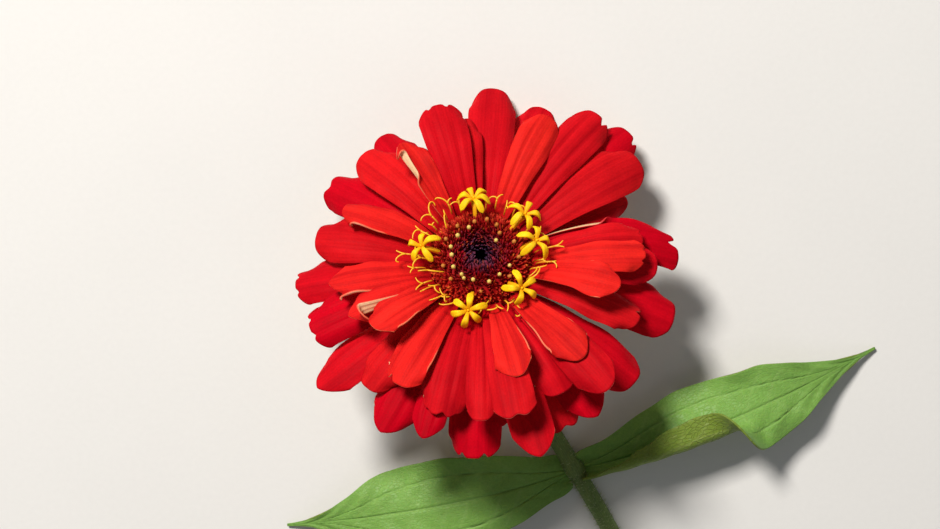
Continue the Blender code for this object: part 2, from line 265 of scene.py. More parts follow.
# %% [markdown]
# ## Finishes
# Plant skin is never one colour. Four effects come back on these pieces, so each is a group of nodes: a
# mottle of slightly lighter and darker cells, fine ribs that run the length of a petal or stem, broad soft
# streaks, and a net of small veins. They hand out a colour, a mask or a height, and the shader itself
# stays in each material.

# %% Node helpers
def put(tree, kind, *inputs, named=None, **options):
    """Add a node, set its options, and fill its inputs with numbers or with links."""
    node = tree.nodes.new(kind)
    for option, value in options.items():
        setattr(node, option, value)
    for place, value in [*enumerate(inputs), *(named or {}).items()]:
        if isinstance(value, bpy.types.NodeSocket):
            tree.links.new(value, node.inputs[place])
        elif value is not None:
            node.inputs[place].default_value = value
    return node


def math_node(tree, operation, *inputs, clamp=False):
    """A Math node's result."""
    return put(tree, "ShaderNodeMath", *inputs, operation=operation, use_clamp=clamp).outputs[0]


def mixed(tree, share, first, second):
    """A colour between two colours."""
    node = put(tree, "ShaderNodeMix", share, data_type="RGBA", named={6: first, 7: second})
    return node.outputs[2]


def value_on(tree, label):
    """One of the numbers that a mesh carries at its points."""
    return put(tree, "ShaderNodeAttribute", attribute_name=label).outputs["Fac"]


def new_group(name, inputs, outputs):
    """A node group with its sockets, and its two end nodes."""
    group = bpy.data.node_groups.new(name, "ShaderNodeTree")
    for label, kind in inputs:
        group.interface.new_socket(label, in_out="INPUT", socket_type=kind)
    for label, kind in outputs:
        group.interface.new_socket(label, in_out="OUTPUT", socket_type=kind)
    return group, group.nodes.new("NodeGroupInput"), group.nodes.new("NodeGroupOutput")


def use_group(tree, group, **inputs):
    """Place a group in a material with its own values."""
    node = tree.nodes.new("ShaderNodeGroup")
    node.node_tree = group
    for label, value in inputs.items():
        socket = node.inputs[label.replace("_", " ").capitalize()]
        if isinstance(value, bpy.types.NodeSocket):
            tree.links.new(value, socket)
        else:
            socket.default_value = value
    return node


# %% Mottle
FLOAT, COLOUR = "NodeSocketFloat", "NodeSocketColor"


def make_mottle():
    """Soft patches of lighter and darker shade, with a finer grain on top that also stands as a height."""
    inputs = [("Colour", COLOUR), ("Patches", FLOAT), ("Grain", FLOAT), ("Strength", FLOAT)]
    group, start, end = new_group("mottle", inputs, [("Colour", COLOUR), ("Height", FLOAT)])
    place = put(group, "ShaderNodeTexCoord").outputs["Object"]
    patches = put(group, "ShaderNodeTexNoise", named={"Vector": place, "Scale": start.outputs["Patches"]})
    grain = put(group, "ShaderNodeTexNoise", named={"Vector": place, "Scale": start.outputs["Grain"]})
    both = math_node(group, "ADD", patches.outputs[0], grain.outputs[0])
    shift = math_node(group, "MULTIPLY", math_node(group, "SUBTRACT", both, 1.0), start.outputs["Strength"])
    value = math_node(group, "ADD", shift, 1.0)
    shaded = put(group, "ShaderNodeHueSaturation", named={"Value": value, "Color": start.outputs["Colour"]})
    group.links.new(shaded.outputs[0], end.inputs["Colour"])
    group.links.new(grain.outputs[0], end.inputs["Height"])
    return group


mottle = make_mottle()
print("mottle has", len(mottle.nodes), "nodes")


# %% Ribs
def make_ribs():
    """Fine, slightly uneven lines across a width that runs from -1 to 1, as a mask from 0 to 1."""
    inputs = [("Across", FLOAT), ("Along", FLOAT), ("Count", FLOAT), ("Sharpness", FLOAT)]
    group, start, end = new_group("ribs", inputs, [("Mask", FLOAT)])
    place = put(group, "ShaderNodeCombineXYZ", start.outputs["Across"], start.outputs["Along"]).outputs[0]
    wander = put(group, "ShaderNodeTexNoise", named={"Vector": place, "Scale": 2.5}).outputs[0]
    turns = math_node(group, "MULTIPLY", start.outputs["Across"], start.outputs["Count"])
    wave = math_node(group, "SINE", math_node(group, "MULTIPLY_ADD", wander, 2.5, turns))
    mask = math_node(group, "POWER", math_node(group, "ABSOLUTE", wave), start.outputs["Sharpness"])
    group.links.new(mask, end.inputs["Mask"])
    return group


ribs = make_ribs()
print("ribs has", len(ribs.nodes), "nodes")


# %% Streaks
def make_streaks():
    """Broad soft streaks that run lengthwise and differ from one tone to the next, as a mask from 0 to 1."""
    inputs = [("Across", FLOAT), ("Along", FLOAT), ("Count", FLOAT), ("Tone", FLOAT)]
    group, start, end = new_group("streaks", inputs, [("Mask", FLOAT)])
    slow = math_node(group, "MULTIPLY", start.outputs["Along"], 0.3)
    apart = math_node(group, "MULTIPLY", start.outputs["Tone"], 40.0)
    place = put(group, "ShaderNodeCombineXYZ", start.outputs["Across"], slow, apart).outputs[0]
    wanted = {"Vector": place, "Scale": start.outputs["Count"], "Detail": 3.0}
    noise = put(group, "ShaderNodeTexNoise", named=wanted)
    mask = put(group, "ShaderNodeMapRange", noise.outputs[0], 0.4, 0.68, 0.0, 1.0).outputs[0]
    group.links.new(mask, end.inputs["Mask"])
    return group


streaks = make_streaks()
print("streaks has", len(streaks.nodes), "nodes")


# %% Net of veins
def make_net():
    """The borders of small cells, as a mask from 0 to 1."""
    inputs = [("Across", FLOAT), ("Along", FLOAT), ("Cells", FLOAT), ("Width", FLOAT)]
    group, start, end = new_group("net", inputs, [("Mask", FLOAT)])
    place = put(group, "ShaderNodeCombineXYZ", start.outputs["Across"], start.outputs["Along"]).outputs[0]
    cells = put(
        group,
        "ShaderNodeTexVoronoi",
        feature="DISTANCE_TO_EDGE",
        named={"Vector": place, "Scale": start.outputs["Cells"]},
    )
    near = math_node(group, "DIVIDE", cells.outputs["Distance"], start.outputs["Width"], clamp=True)
    group.links.new(math_node(group, "SUBTRACT", 1.0, near), end.inputs["Mask"])
    return group


net = make_net()
print("net has", len(net.nodes), "nodes")


# %% A plain finish and what is linked to it
def new_finish(name, roughness, sheen=0.0, subsurface=0.0, specular=0.5):
    """A material with its shader's plain values, ready for its colour and its relief."""
    material = bpy.data.materials.new(name)
    material.use_nodes = True
    shader = material.node_tree.nodes["Principled BSDF"]
    shader.inputs["Roughness"].default_value = roughness
    shader.inputs["Specular IOR Level"].default_value = specular
    shader.inputs["Sheen Weight"].default_value = sheen
    shader.inputs["Sheen Roughness"].default_value = 0.45
    shader.inputs["Subsurface Weight"].default_value = subsurface
    shader.inputs["Subsurface Radius"].default_value = (1.0, 0.35, 0.2)
    shader.inputs["Subsurface Scale"].default_value = 0.8 * MM
    return material, material.node_tree, shader


def finish_with(tree, shader, colour, height, depth):
    """Link a colour, and a height in units of depth, to the shader."""
    tree.links.new(colour, shader.inputs["Base Color"])
    bump = put(tree, "ShaderNodeBump", named={"Height": height, "Distance": depth, "Strength": 1.0})
    tree.links.new(bump.outputs[0], shader.inputs["Normal"])


def roughness_from(tree, shader, mask, smooth, rough):
    """Let a mask run the roughness between two values."""
    spread = put(tree, "ShaderNodeMapRange", mask, 0.0, 1.0, smooth, rough)
    tree.links.new(spread.outputs[0], shader.inputs["Roughness"])


# %% [markdown]
# A zinnia petal is like velvet on its face: its cells stand up like a fine pile, so it takes almost no
# gloss. Its red is deep in the outer whorl and leans to orange in the young inner one. Faint lines run its
# length, and broad darker streaks along it are painted shade of its shallow folds, as is the darker red at
# its root. The back is another matter: cream, flushed with red and with brownish veins.

# %% Petal finishes
DEEP_RED = (0.53, 0.0008, 0.0100, 1)
WARM_RED = (0.80, 0.021, 0.0145, 1)
VEIN_AND_FOLD_SHADE_RED = (0.28, 0.0005, 0.005, 1)
ROOT_SHADE_RED = (0.34, 0.001, 0.005, 1)


def make_petal_face():
    """The upper side of a petal."""
    material, tree, shader = new_finish("petal_face", 0.5, subsurface=0.08, specular=0.02)
    along, across, tone = value_on(tree, "along"), value_on(tree, "across"), value_on(tree, "tone")
    body = mixed(tree, tone, DEEP_RED, WARM_RED)
    # Painted shade: the face darkens towards its root, where the petals crowd under the disc and one another.
    root = math_node(tree, "SUBTRACT", 1.0, math_node(tree, "MULTIPLY", along, 3.5), clamp=True)
    body = mixed(tree, math_node(tree, "MULTIPLY", root, 0.6), body, ROOT_SHADE_RED)
    lines = use_group(tree, ribs, across=across, along=along, count=23.0, sharpness=4.0).outputs[0]
    broad = use_group(tree, streaks, across=across, along=along, count=2.2, tone=tone).outputs[0]
    body = mixed(tree, math_node(tree, "MULTIPLY", lines, 0.10), body, VEIN_AND_FOLD_SHADE_RED)
    # Painted shade: the broad streaks darken the face as if its shallow folds were shaded.
    body = mixed(tree, math_node(tree, "MULTIPLY", broad, 0.55), body, VEIN_AND_FOLD_SHADE_RED)
    skin = use_group(tree, mottle, colour=body, patches=260.0, grain=2600.0, strength=0.35)
    height = math_node(tree, "MULTIPLY_ADD", lines, -0.35, skin.outputs["Height"])
    finish_with(tree, shader, skin.outputs["Colour"], height, 0.03 * MM)
    roughness_from(tree, shader, skin.outputs["Height"], 0.42, 0.62)
    return material


def make_petal_back():
    """The underside of a petal."""
    material, tree, shader = new_finish("petal_back", 0.6, subsurface=0.12, specular=0.2)
    along, across, tone = value_on(tree, "along"), value_on(tree, "across"), value_on(tree, "tone")
    lines = use_group(tree, ribs, across=across, along=along, count=14.0, sharpness=3.0).outputs[0]
    broad = use_group(tree, streaks, across=across, along=along, count=2.0, tone=tone).outputs[0]
    flush = mixed(tree, along, (0.62, 0.58, 0.26, 1), (0.86, 0.56, 0.34, 1))
    flush = mixed(tree, math_node(tree, "MULTIPLY", broad, 0.5), flush, (0.80, 0.30, 0.17, 1))
    colour = mixed(tree, math_node(tree, "MULTIPLY", lines, 0.14), flush, (0.46, 0.16, 0.06, 1))
    skin = use_group(tree, mottle, colour=colour, patches=300.0, grain=2400.0, strength=0.3)
    finish_with(tree, shader, skin.outputs["Colour"], lines, 0.06 * MM)
    return material


def make_petal_rim_highlight():
    """A petal's thin edge, in a paler peach that is a painted highlight of light caught along it."""
    material, tree, shader = new_finish("petal_rim", 0.5, subsurface=0.12)
    # Painted highlight: the rim is paler and more orange than the face beside it.
    colour = mixed(tree, value_on(tree, "tone"), (0.62, 0.02, 0.02, 1), (0.88, 0.16, 0.07, 1))
    skin = use_group(tree, mottle, colour=colour, patches=300.0, grain=2400.0, strength=0.4)
    finish_with(tree, shader, skin.outputs["Colour"], skin.outputs["Height"], 0.03 * MM)
    return material


petal_finishes = [make_petal_face(), make_petal_back(), make_petal_rim_highlight()]
print("petal finishes:", [finish.name for finish in petal_finishes])

# %% [markdown]
# ## Petals
# Each petal is a strap with a narrow root. On the real flower no two ends are alike: some are round, some
# notched or toothed, where the petal's three fused lobes didn't quite close. Two or three shallow folds
# run down its length, and a few petals, mostly young ones, carry an edge rolled inward that shows the pale
# back. The frame gives the middle surface; the tip, the folds and the rolled edges are worked into the grid.

# %% How the tips end
PETAL_ROWS, PETAL_COLUMNS = 9, 5
FINE_ROWS, FINE_COLUMNS = 64, 33
SKIN = 0.3 * MM
TIP_REACH = 1.02  # how far the skin reaches, as a share of the plain solid's length
# A few petals are shorter or narrower than their plain solids.
PETAL_REACH = {"petal_outer_02": 0.95}
PETAL_WIDTH = {
    "petal_middle_10": 0.92,
    "petal_middle_11": 0.76,
    "petal_middle_12": 0.92,
    "petal_outer_11": 0.8,
    "petal_outer_13": 0.85,
}
TIP_FULLNESS = 2.6  # 2 would round a tip's corners along a plain oval
WIDEN_MOST = 2.2
WAIST, WAIST_AT, WAIST_LENGTH = 0.14, 0.38, 0.26  # how much narrower a petal is, where along it, and how long
TONE_SPREAD = 0.14  # how much two petals of one whorl may differ in tone

# Tip: how deep its corners are rounded and how far it is drawn to a point, in mm, how much of its full
# width it keeps, then its notches: place across, depth in mm and half width.
TIPS = {
    "round": (2.5, 0.0, 1.0, []),
    "oval": (3.4, 0.3, 0.9, []),
    "pointed": (2.4, 1.7, 0.8, []),
    "blunt": (2.0, 0.0, 1.0, [(0.1, 0.5, 0.22)]),
    "square": (1.7, 0.0, 1.0, [(-0.35, 0.5, 0.10), (0.38, 0.4, 0.10)]),
    "notch_left": (2.1, 0.0, 1.0, [(0.36, 0.9, 0.11)]),
    "notch_right": (2.1, 0.0, 1.0, [(-0.38, 0.9, 0.11)]),
    "forked": (2.2, 0.6, 0.9, [(0.05, 1.4, 0.13)]),
    "toothed": (2.1, 0.0, 1.0, [(-0.4, 0.7, 0.10), (0.36, 0.7, 0.10)]),
    "wavy": (2.2, 0.0, 1.0, [(-0.55, 0.4, 0.14), (0.1, 0.6, 0.14), (0.62, 0.4, 0.12)]),
}
PETAL_TIPS = {
    "outer": "blunt forked notch_right round round blunt square square pointed pointed pointed toothed blunt "
    "pointed blunt pointed round round round",
    "middle": "square round notch_right round blunt square round round round wavy round blunt round oval "
    "notch_left",
    "inner": "square round oval round pointed pointed round notch_right oval oval oval",
}
WHORL_TONE = {"outer": 0.08, "middle": 0.30, "inner": 0.85}
print("kinds of tip:", len(TIPS))

# %% Which edges roll over
# Rolled edge: which side, where the roll starts across, from and to along, and how far it turns in degrees.
ROLLED = {
    "petal_inner_03": (1, 0.62, 0.46, 0.97, 125),
    "petal_inner_04": (1, 0.80, 0.40, 0.95, 110),
    "petal_inner_05": (1, 0.76, 0.45, 1.1, 110),
    "petal_inner_06": (1, 0.30, 0.30, 0.99, 130),
    "petal_inner_07": (1, 0.84, 0.40, 0.9, 100),
    "petal_inner_08": (1, 0.84, 0.45, 0.85, 95),
    "petal_inner_09": (1, 0.82, 0.40, 0.9, 100),
    "petal_inner_10": (-1, 0.82, 0.30, 0.9, 105),
    "petal_outer_02": (1, 0.55, 0.02, 0.66, 150),
}
ROLL_RADIUS = 0.45 * MM
ROLL_EASE = 0.16
print("rolled petals:", len(ROLLED))

# %% Bumps and steps
def bell(places, middle, width):
    """A smooth bump, 1 at its middle."""
    return np.exp(-(((places - middle) / width) ** 2))


def step_up(places, start, length):
    """Rises smoothly from 0 to 1 over a length."""
    share = np.clip((places - start) / length, 0, 1)
    return share * share * (3 - 2 * share)


print("halfway up a step:", float(step_up(0.5, 0, 1)))


# %% Folds, grooves and ripples
def petal_relief(s, v, chance):
    """How far the skin stands off the middle surface, in metres.

    The terms are two grooves and a midrib, fine ribs, a rippled edge, a drooping tip, edges that curl down,
    and a slight lean to one side.
    """
    fade = step_up(s, 0.02, 0.2) * (1 - 0.75 * step_up(s, 0.72, 0.28))
    left, right = chance.uniform(0.22, 0.42), chance.uniform(0.22, 0.42)
    deep = chance.uniform(0.75, 1.3)
    relief = -0.30 * deep * fade * (bell(v, left, 0.15) + bell(v, -right, 0.15))
    relief -= 0.18 * fade * bell(v, chance.uniform(-0.06, 0.06), 0.09)
    relief += 0.012 * fade * np.cos(9 * math.pi * v)
    phase = chance.uniform(0, 6.3)
    ripple = np.sin(2 * math.pi * chance.uniform(1.6, 2.6) * s + phase + 1.5 * v)
    relief += 0.32 * ripple * np.abs(v) ** 3 * step_up(s, 0.2, 0.3)
    relief -= 0.5 * chance.uniform(0.3, 1.2) * step_up(s, 0.75, 0.25) * (0.4 + 0.6 * v * v)
    relief -= chance.uniform(0.45, 0.85) * np.abs(v) ** 2.6 * step_up(s, 0.2, 0.45)
    relief += chance.uniform(0.2, 0.55) * v * step_up(s, 0.2, 0.5)
    return relief * MM


# %% Rolling an edge over
def roll_edge(points, s, v, roll, bend_radius):
    """Turn the strip beyond the roll's line up and over, along a small circle."""
    side, start, begin, end, degrees = roll
    columns = points.shape[1]
    share = step_up(s, begin, ROLL_EASE) * (1 - step_up(s, end - ROLL_EASE, ROLL_EASE))
    angle = math.radians(degrees) * share
    normals = sheet_normals(points)
    column = int(np.argmin(np.abs(v[0] - side * start)))
    beyond = range(column + side, columns if side > 0 else -1, side)
    rolled = points.copy()
    for row in range(len(points)):
        turn = max(angle[row, column], 1e-6)
        foot, lift = points[row, column], normals[row, column]
        away = unit(points[row, column + side] - points[row, column - side])
        for spot in beyond:
            reach = np.linalg.norm(points[row, spot] - foot)
            bent = min(turn, reach / bend_radius)
            over = max(0.0, reach - bend_radius * turn)
            out = bend_radius * math.sin(bent) + over * math.cos(bent)
            high = bend_radius * (1 - math.cos(bent)) + over * math.sin(bent)
            rise = points[row, spot] - foot - away * reach
            rolled[row, spot] = foot + away * out + lift * high + rise * (1 - min(1.0, turn))
    return rolled


# %% One petal
def crowded_edges(count):
    """Places from -1 to 1 that lie closer together towards both ends."""
    turn = 0.45 * math.pi
    return np.sin(turn * np.linspace(-1, 1, count)) / math.sin(turn)


def full_tip(points, fullness, share):
    """The sheet with a waist, its last rows drawn out towards its full width, and all narrowed to a share."""
    middle = points[:, points.shape[1] // 2, None]
    width = np.linalg.norm(points[:, -1] - points[:, 0], axis=1)
    wanted = np.maximum.accumulate(width)
    wider = np.minimum((wanted / width) ** fullness, WIDEN_MOST)
    wider = share * wider * (1 - WAIST * bell(np.linspace(0, 1, len(points)), WAIST_AT, WAIST_LENGTH))
    return middle + (points - middle) * wider[:, None, None]


def petal_shape(node, tip, tone):
    """One petal's fine sheet."""
    chance = random.Random(node)
    corners = corner_points(node)
    flat = to_head(corners) * [1, 1, 0]
    root = flat[np.argsort(np.linalg.norm(flat, axis=1))[: 2 * PETAL_COLUMNS]].mean(axis=0)
    grid = middle_grid(corners, PETAL_ROWS, PETAL_COLUMNS, unit(root) @ head_axes, face_way)
    length = np.linalg.norm(grid[-1].mean(axis=0) - grid[0].mean(axis=0))
    s, v = np.meshgrid(np.linspace(0, 1, FINE_ROWS), crowded_edges(FINE_COLUMNS), indexing="ij")
    rounding, point, fullness, notches = TIPS[tip]
    fallen = np.linalg.norm(grid[-1, PETAL_COLUMNS // 2] - grid[-1, [0, -1]].mean(axis=0)) / MM
    back = rounding * (1 - np.sqrt(1 - np.abs(v) ** TIP_FULLNESS)) + point * np.abs(v) ** 1.3 - fallen * v**2
    for middle, depth, width in notches:
        back = back + depth * bell(v, middle + chance.uniform(-0.06, 0.06), width)
    t = s * PETAL_REACH.get(node, TIP_REACH) - s**3 * back * MM / length
    points = on_sheet(grid, t, (v + 1) / 2)
    points = full_tip(points, fullness, PETAL_WIDTH.get(node, 1.0))
    points = points + sheet_normals(points) * petal_relief(s, v, chance)[..., None]
    if node in ROLLED:
        points = roll_edge(points, s, v, ROLLED[node], ROLL_RADIUS)
    points[..., 2] = np.maximum(points[..., 2], SKIN)
    shade = np.full_like(s, tone + chance.uniform(-TONE_SPREAD, TONE_SPREAD))
    values = {"along": s, "across": v, "tone": shade}
    return points.reshape(-1, 3), sheet_faces(FINE_ROWS, FINE_COLUMNS), values


# %% All the petals
for whorl, tips in PETAL_TIPS.items():
    for number, tip in enumerate(tips.split(), 1):
        name = f"petal_{whorl}_{number:02d}"
        shape = petal_shape(name, tip, WHORL_TONE[whorl])
        add_piece(f"{name}_skin", shape, petal_finishes, [name], thickness=SKIN)
print("petals:", sum(len(tips.split()) for tips in PETAL_TIPS.values()))

# %% [markdown]
# ## The disc
# The dome in the middle is packed with chaff: stiff little scales with fringed ends that wrap the closed
# florets. They follow the spiral that sunflower seeds follow, each one turned by the golden angle from the
# last. At the pit they are nearly black with pale lilac ends and lean inward. On the dome they are maroon,
# at the rim crimson and curled outward; here and there one ends in orange, partly a painted glint.

# %% Scale finish
# Colours from the pit, 0, to the rim, 1.
SCALE_BODY = [
    (0.14, (0.001, 0.0003, 0.001)),
    (0.30, (0.05, 0.001, 0.010)),
    (0.48, (0.26, 0.002, 0.008)),
    (0.95, (0.46, 0.010, 0.008)),
]
SCALE_FRINGE = [
    (0.14, (0.09, 0.04, 0.10)),
    (0.30, (0.30, 0.07, 0.14)),
    (0.50, (0.58, 0.010, 0.02)),
    (0.92, (0.80, 0.06, 0.016)),
]


def make_scale_finish():
    """Chaff, coloured by how far out on the disc it stands and by how near to its fringe."""
    material, tree, shader = new_finish("chaff", 0.5, specular=0.1)
    ring, along, tone = value_on(tree, "ring"), value_on(tree, "along"), value_on(tree, "tone")
    body = put(tree, "ShaderNodeValToRGB", math_node(tree, "MULTIPLY_ADD", tone, 0.12, ring))
    fringe = put(tree, "ShaderNodeValToRGB", math_node(tree, "MULTIPLY_ADD", tone, 0.12, ring))
    set_ramp(body, SCALE_BODY)
    set_ramp(fringe, SCALE_FRINGE)
    tip = math_node(tree, "POWER", along, 3.0)
    colour = mixed(tree, tip, body.outputs[0], fringe.outputs[0])
    # Partly painted glint: a random few fringes near the rim turn orange, their own colour mixed with glints
    # on the tips.
    orange_tips_and_glints = math_node(tree, "MULTIPLY", math_node(tree, "SUBTRACT", tone, 0.7), 3.0, clamp=True)
    orange_tips_and_glints = math_node(tree, "MULTIPLY", orange_tips_and_glints, math_node(tree, "MULTIPLY", tip, ring), clamp=True)
    colour = mixed(tree, orange_tips_and_glints, colour, (0.95, 0.34, 0.03, 1))
    skin = use_group(tree, mottle, colour=colour, patches=900.0, grain=4000.0, strength=0.6)
    finish_with(tree, shader, skin.outputs["Colour"], skin.outputs["Height"], 0.04 * MM)
    return material


def set_ramp(node, stops):
    """Fill a colour ramp."""
    ramp = node.color_ramp
    while len(ramp.elements) < len(stops):
        ramp.elements.new(0.5)
    for element, (place, colour) in zip(ramp.elements, stops):
        element.position = place
        element.color = (*colour, 1)


chaff = make_scale_finish()
print("finish:", chaff.name)

# %% Scales in a spiral
GOLDEN_ANGLE = 180 * (3 - math.sqrt(5))
SCALES = 1150
PIT_SCALES = 48  # the first turns of the spiral are left out, where the pit is
DISC_REACH = 9.4 * MM
PIT_LEAN, RIM_LEAN = -62, 43  # how far scales lean outward, in degrees
SCALE_SUNK = 0.35 * MM  # how deep a scale's foot lies under the dome's height
disc_outline = profile("disc")
disc_top = np.array(sorted(((r, h) for r, h in disc_outline if h > 0), key=lambda pair: pair[0]))
SCALE_ROWS, SCALE_COLUMNS = 5, 9


def disc_height(radius):
    """How high the dome stands at a distance from its middle."""
    return np.interp(radius, disc_top[:, 0], disc_top[:, 1])


print("dome height in mm:", round(disc_top[:, 1].max() / MM, 1))


# %% One scale
def blade(foot, upward, side, length, width, curl, values):
    """A fringed blade: its teeth are every other column of points, drawn out at the tip."""
    s, v = np.meshgrid(np.linspace(0, 1, SCALE_ROWS), np.linspace(-1, 1, SCALE_COLUMNS), indexing="ij")
    tooth = np.where(np.arange(SCALE_COLUMNS) % 2, 1.0, 0.58) + 0.14 * (1 - np.abs(v[0]))
    reach = s * (1 + (tooth - 1) * step_up(s, 0.35, 0.6))
    narrow = 1 - 0.35 * step_up(s, 0.4, 0.6)
    outward = np.cross(side, upward)
    bow = 0.22 * width * (1 - v**2) + curl * length * s**2
    points = foot + upward * (reach * length)[..., None] + side * (0.5 * width * v * narrow)[..., None]
    points = points + outward * bow[..., None]
    carried = {label: np.full(s.size, number) for label, number in values.items()}
    return points.reshape(-1, 3), sheet_faces(SCALE_ROWS, SCALE_COLUMNS), {"along": s.ravel(), **carried}


# %% All the scales
def disc_scales():
    """Every scale on the dome."""
    chance = random.Random(4)
    shapes = []
    for index in range(PIT_SCALES, SCALES):
        share = math.sqrt((index + 0.5) / SCALES)
        radius = DISC_REACH * share
        azimuth = index * GOLDEN_ANGLE + chance.uniform(-4, 4)
        out = round_head(azimuth, 1.0, 0.0)
        side = round_head(azimuth + 90 + chance.uniform(-35, 35), 1.0, 0.0)
        lean = math.radians(PIT_LEAN + (RIM_LEAN - PIT_LEAN) * share + chance.uniform(-14, 14))
        upward = unit(np.array([0, 0, 1.0]) * math.cos(lean) + out * math.sin(lean))
        side = unit(side - upward * (side @ upward))
        length = (0.95 + 0.8 * math.sin(math.pi * min(1.0, share * 1.05)) + chance.uniform(-0.2, 0.4)) * MM
        foot = out * radius + np.array([0, 0, disc_height(radius) - SCALE_SUNK])
        values = {"ring": share, "tone": chance.uniform(-1, 1)}
        curl = chance.uniform(-0.1, 0.3) + 0.35 * step_up(np.array(share), 0.75, 0.25)
        width = chance.uniform(0.34, 0.60) * MM
        points, faces, carried = blade(foot, upward, side, length, width, curl, values)
        shapes.append((from_head(points), faces, carried))
    return heap(shapes)


add_piece("disc_scales", disc_scales(), [chaff], thickness=0.06 * MM)
print("scales:", SCALES - PIT_SCALES)

# %% [markdown]
# Under the scales lies the dome itself. It hardly shows, but a gap between scales has to end on something,
# so it is turned from the frame's own outline, a little lower, with a knobbly surface.

# %% Dome under the scales
TURNED_SIDES = 72


def turned_shape(outline, sides, wobble, **values):
    """A solid turned about the head's axis, with a surface that wavers by wobble."""
    rows = []
    angles = np.linspace(0, 2 * math.pi, sides, endpoint=False)
    for number, (radius, height) in enumerate(outline):
        waver = 1 + wobble * np.sin(7 * angles + 2.3 * number) * np.cos(11 * angles - number)
        reach = radius * waver
        rows.append(np.stack([reach * np.cos(angles), reach * np.sin(angles), 0 * angles + height], 1))
    points = from_head(np.array(rows).reshape(-1, 3))
    carried = {label: np.full(len(points), number) for label, number in values.items()}
    return points, ring_faces(len(rows), sides), carried


def finer(outline, count):
    """More points along an outline, through a smooth curve."""
    return smooth_pulls(np.linspace(0, 1, count), len(outline)) @ outline


dome_outline = [(0.3 * MM, -0.5 * MM), (8.9 * MM, -0.5 * MM)]
dome_side = [place for place in disc_top[::-1] if place[0] > 1.4 * MM]
dome_outline += [(radius - 0.1 * MM, height - 0.4 * MM) for radius, height in dome_side]
dome_outline += [(1.0 * MM, disc_top[0][1] - 1.4 * MM), (0.15 * MM, disc_top[0][1] - 2.2 * MM)]
dome_outline = finer(np.array(dome_outline), 40)
dome = turned_shape(dome_outline, TURNED_SIDES, 0.02, along=0.0, tone=0.0)
dome[2]["ring"] = np.repeat(dome_outline[:, 0] / DISC_REACH, TURNED_SIDES)
add_piece("disc_dome", dome, [chaff], ["disc"])
print("dome corners:", len(dome[0]))

# %% [markdown]
# ## Closed buds
# Round the dome stands a ring of florets that haven't opened: small cream ovals with five seams where the
# lobes will part. Further out a few duller ones are still sunk among the scales. A ring of points pulled
# in at the seams and gathered at the top makes one.

# %% Bud finish
def make_bud_finish():
    """Cream at the top and brownish below, or a dull orange for the sunken ones."""
    material, tree, shader = new_finish("bud", 0.6, subsurface=0.1, specular=0.2)
    along, tone = value_on(tree, "along"), value_on(tree, "tone")
    cream = mixed(tree, along, (0.36, 0.20, 0.02, 1), (0.80, 0.60, 0.14, 1))
    dull = mixed(tree, along, (0.25, 0.03, 0.01, 1), (0.55, 0.15, 0.02, 1))
    colour = mixed(tree, tone, cream, dull)
    skin = use_group(tree, mottle, colour=colour, patches=700.0, grain=3500.0, strength=0.4)
    finish_with(tree, shader, skin.outputs["Colour"], skin.outputs["Height"], 0.03 * MM)
    return material


# %% Buds in a ring
# Bud: angle round the head in degrees, then its distance out, the height of its middle, its half width and
# its half length in mm.
BUDS = [
    (114, 5.5, 5.6, 0.42, 0.62), (143, 5.5, 5.6, 0.45, 0.68), (170, 5.8, 5.5, 0.42, 0.66),
    (187, 5.6, 5.6, 0.45, 0.64), (211, 6.1, 5.5, 0.43, 0.66), (233, 6.0, 5.7, 0.40, 0.85),
    (240, 6.4, 5.6, 0.38, 0.8), (256, 5.9, 5.4, 0.43, 0.64), (285, 6.35, 5.4, 0.43, 0.66),
    (308, 5.9, 5.4, 0.40, 0.60), (38, 3.8, 5.6, 0.40, 0.55), (334, 6.2, 5.2, 0.38, 0.55),
]
SUNKEN_BUDS = [
    (80, 7.2), (62, 6.6), (20, 6.9), (355, 7.4), (320, 7.3), (270, 7.7), (222, 7.7), (199, 7.6),
    (156, 7.3), (128, 7.2), (100, 6.6), (47, 5.4),
]
SUNKEN_RISE, SUNKEN_SIZE, SUNKEN_TONE = 1.1 * MM, (0.42 * MM, 0.6 * MM), 0.85
BUD_SIDES, BUD_RINGS = 20, 12


def bud(place, width, length, tone):
    """One closed floret, leaning outward with the dome, on a short tube."""
    heights = np.linspace(-1.0, 1.0, BUD_RINGS)
    angles = np.linspace(0, 2 * math.pi, BUD_SIDES, endpoint=False)
    lean = unit(np.array([place[0], place[1], 5.0 * place[2]]))
    side = unit(np.cross(lean, (0.3, 1.0, 0.2)))
    rings = [place - lean * 2.2 * length + turn_round(angles, side, lean) * 0.45 * width]
    for height in heights:
        seams = 1 + 0.10 * np.cos(5 * angles) * (0.3 + height)
        girth = width * math.sqrt(max(0.02, 1 - abs(height) ** 2.4)) * seams
        rings.append(place + lean * height * length + turn_round(angles, side, lean) * girth[:, None])
    along = np.repeat([0.0, *np.clip((heights + 1) / 1.2, 0, 1)], BUD_SIDES)
    points = from_head(np.array(rings).reshape(-1, 3))
    return points, ring_faces(len(rings), BUD_SIDES), {"along": along, "tone": np.full(len(points), tone)}


def turn_round(angles, side, axis):
    """Directions round an axis, starting from a side."""
    return np.outer(np.cos(angles), side) + np.outer(np.sin(angles), np.cross(axis, side))


bud_shapes = []
for azimuth, radius, height, width, length in BUDS:
    place = round_head(azimuth, radius * MM, height * MM)
    bud_shapes.append(bud(place, width * MM, length * MM, 0.0))
for azimuth, radius in SUNKEN_BUDS:
    place = round_head(azimuth, radius * MM, disc_height(radius * MM) + SUNKEN_RISE)
    bud_shapes.append(bud(place, *SUNKEN_SIZE, SUNKEN_TONE))
add_piece("disc_buds", heap(bud_shapes), [make_bud_finish()])
print("buds:", len(bud_shapes))

# %% [markdown]
# ## Star florets
# The open disc florets are the yellow stars. Each is a ribbed tube that opens into five or six thick
# lobes, velvety on top, arched up from the throat and bent down at their ends. The frame's plain star says
# where its middle is, which way it faces and where each lobe points.

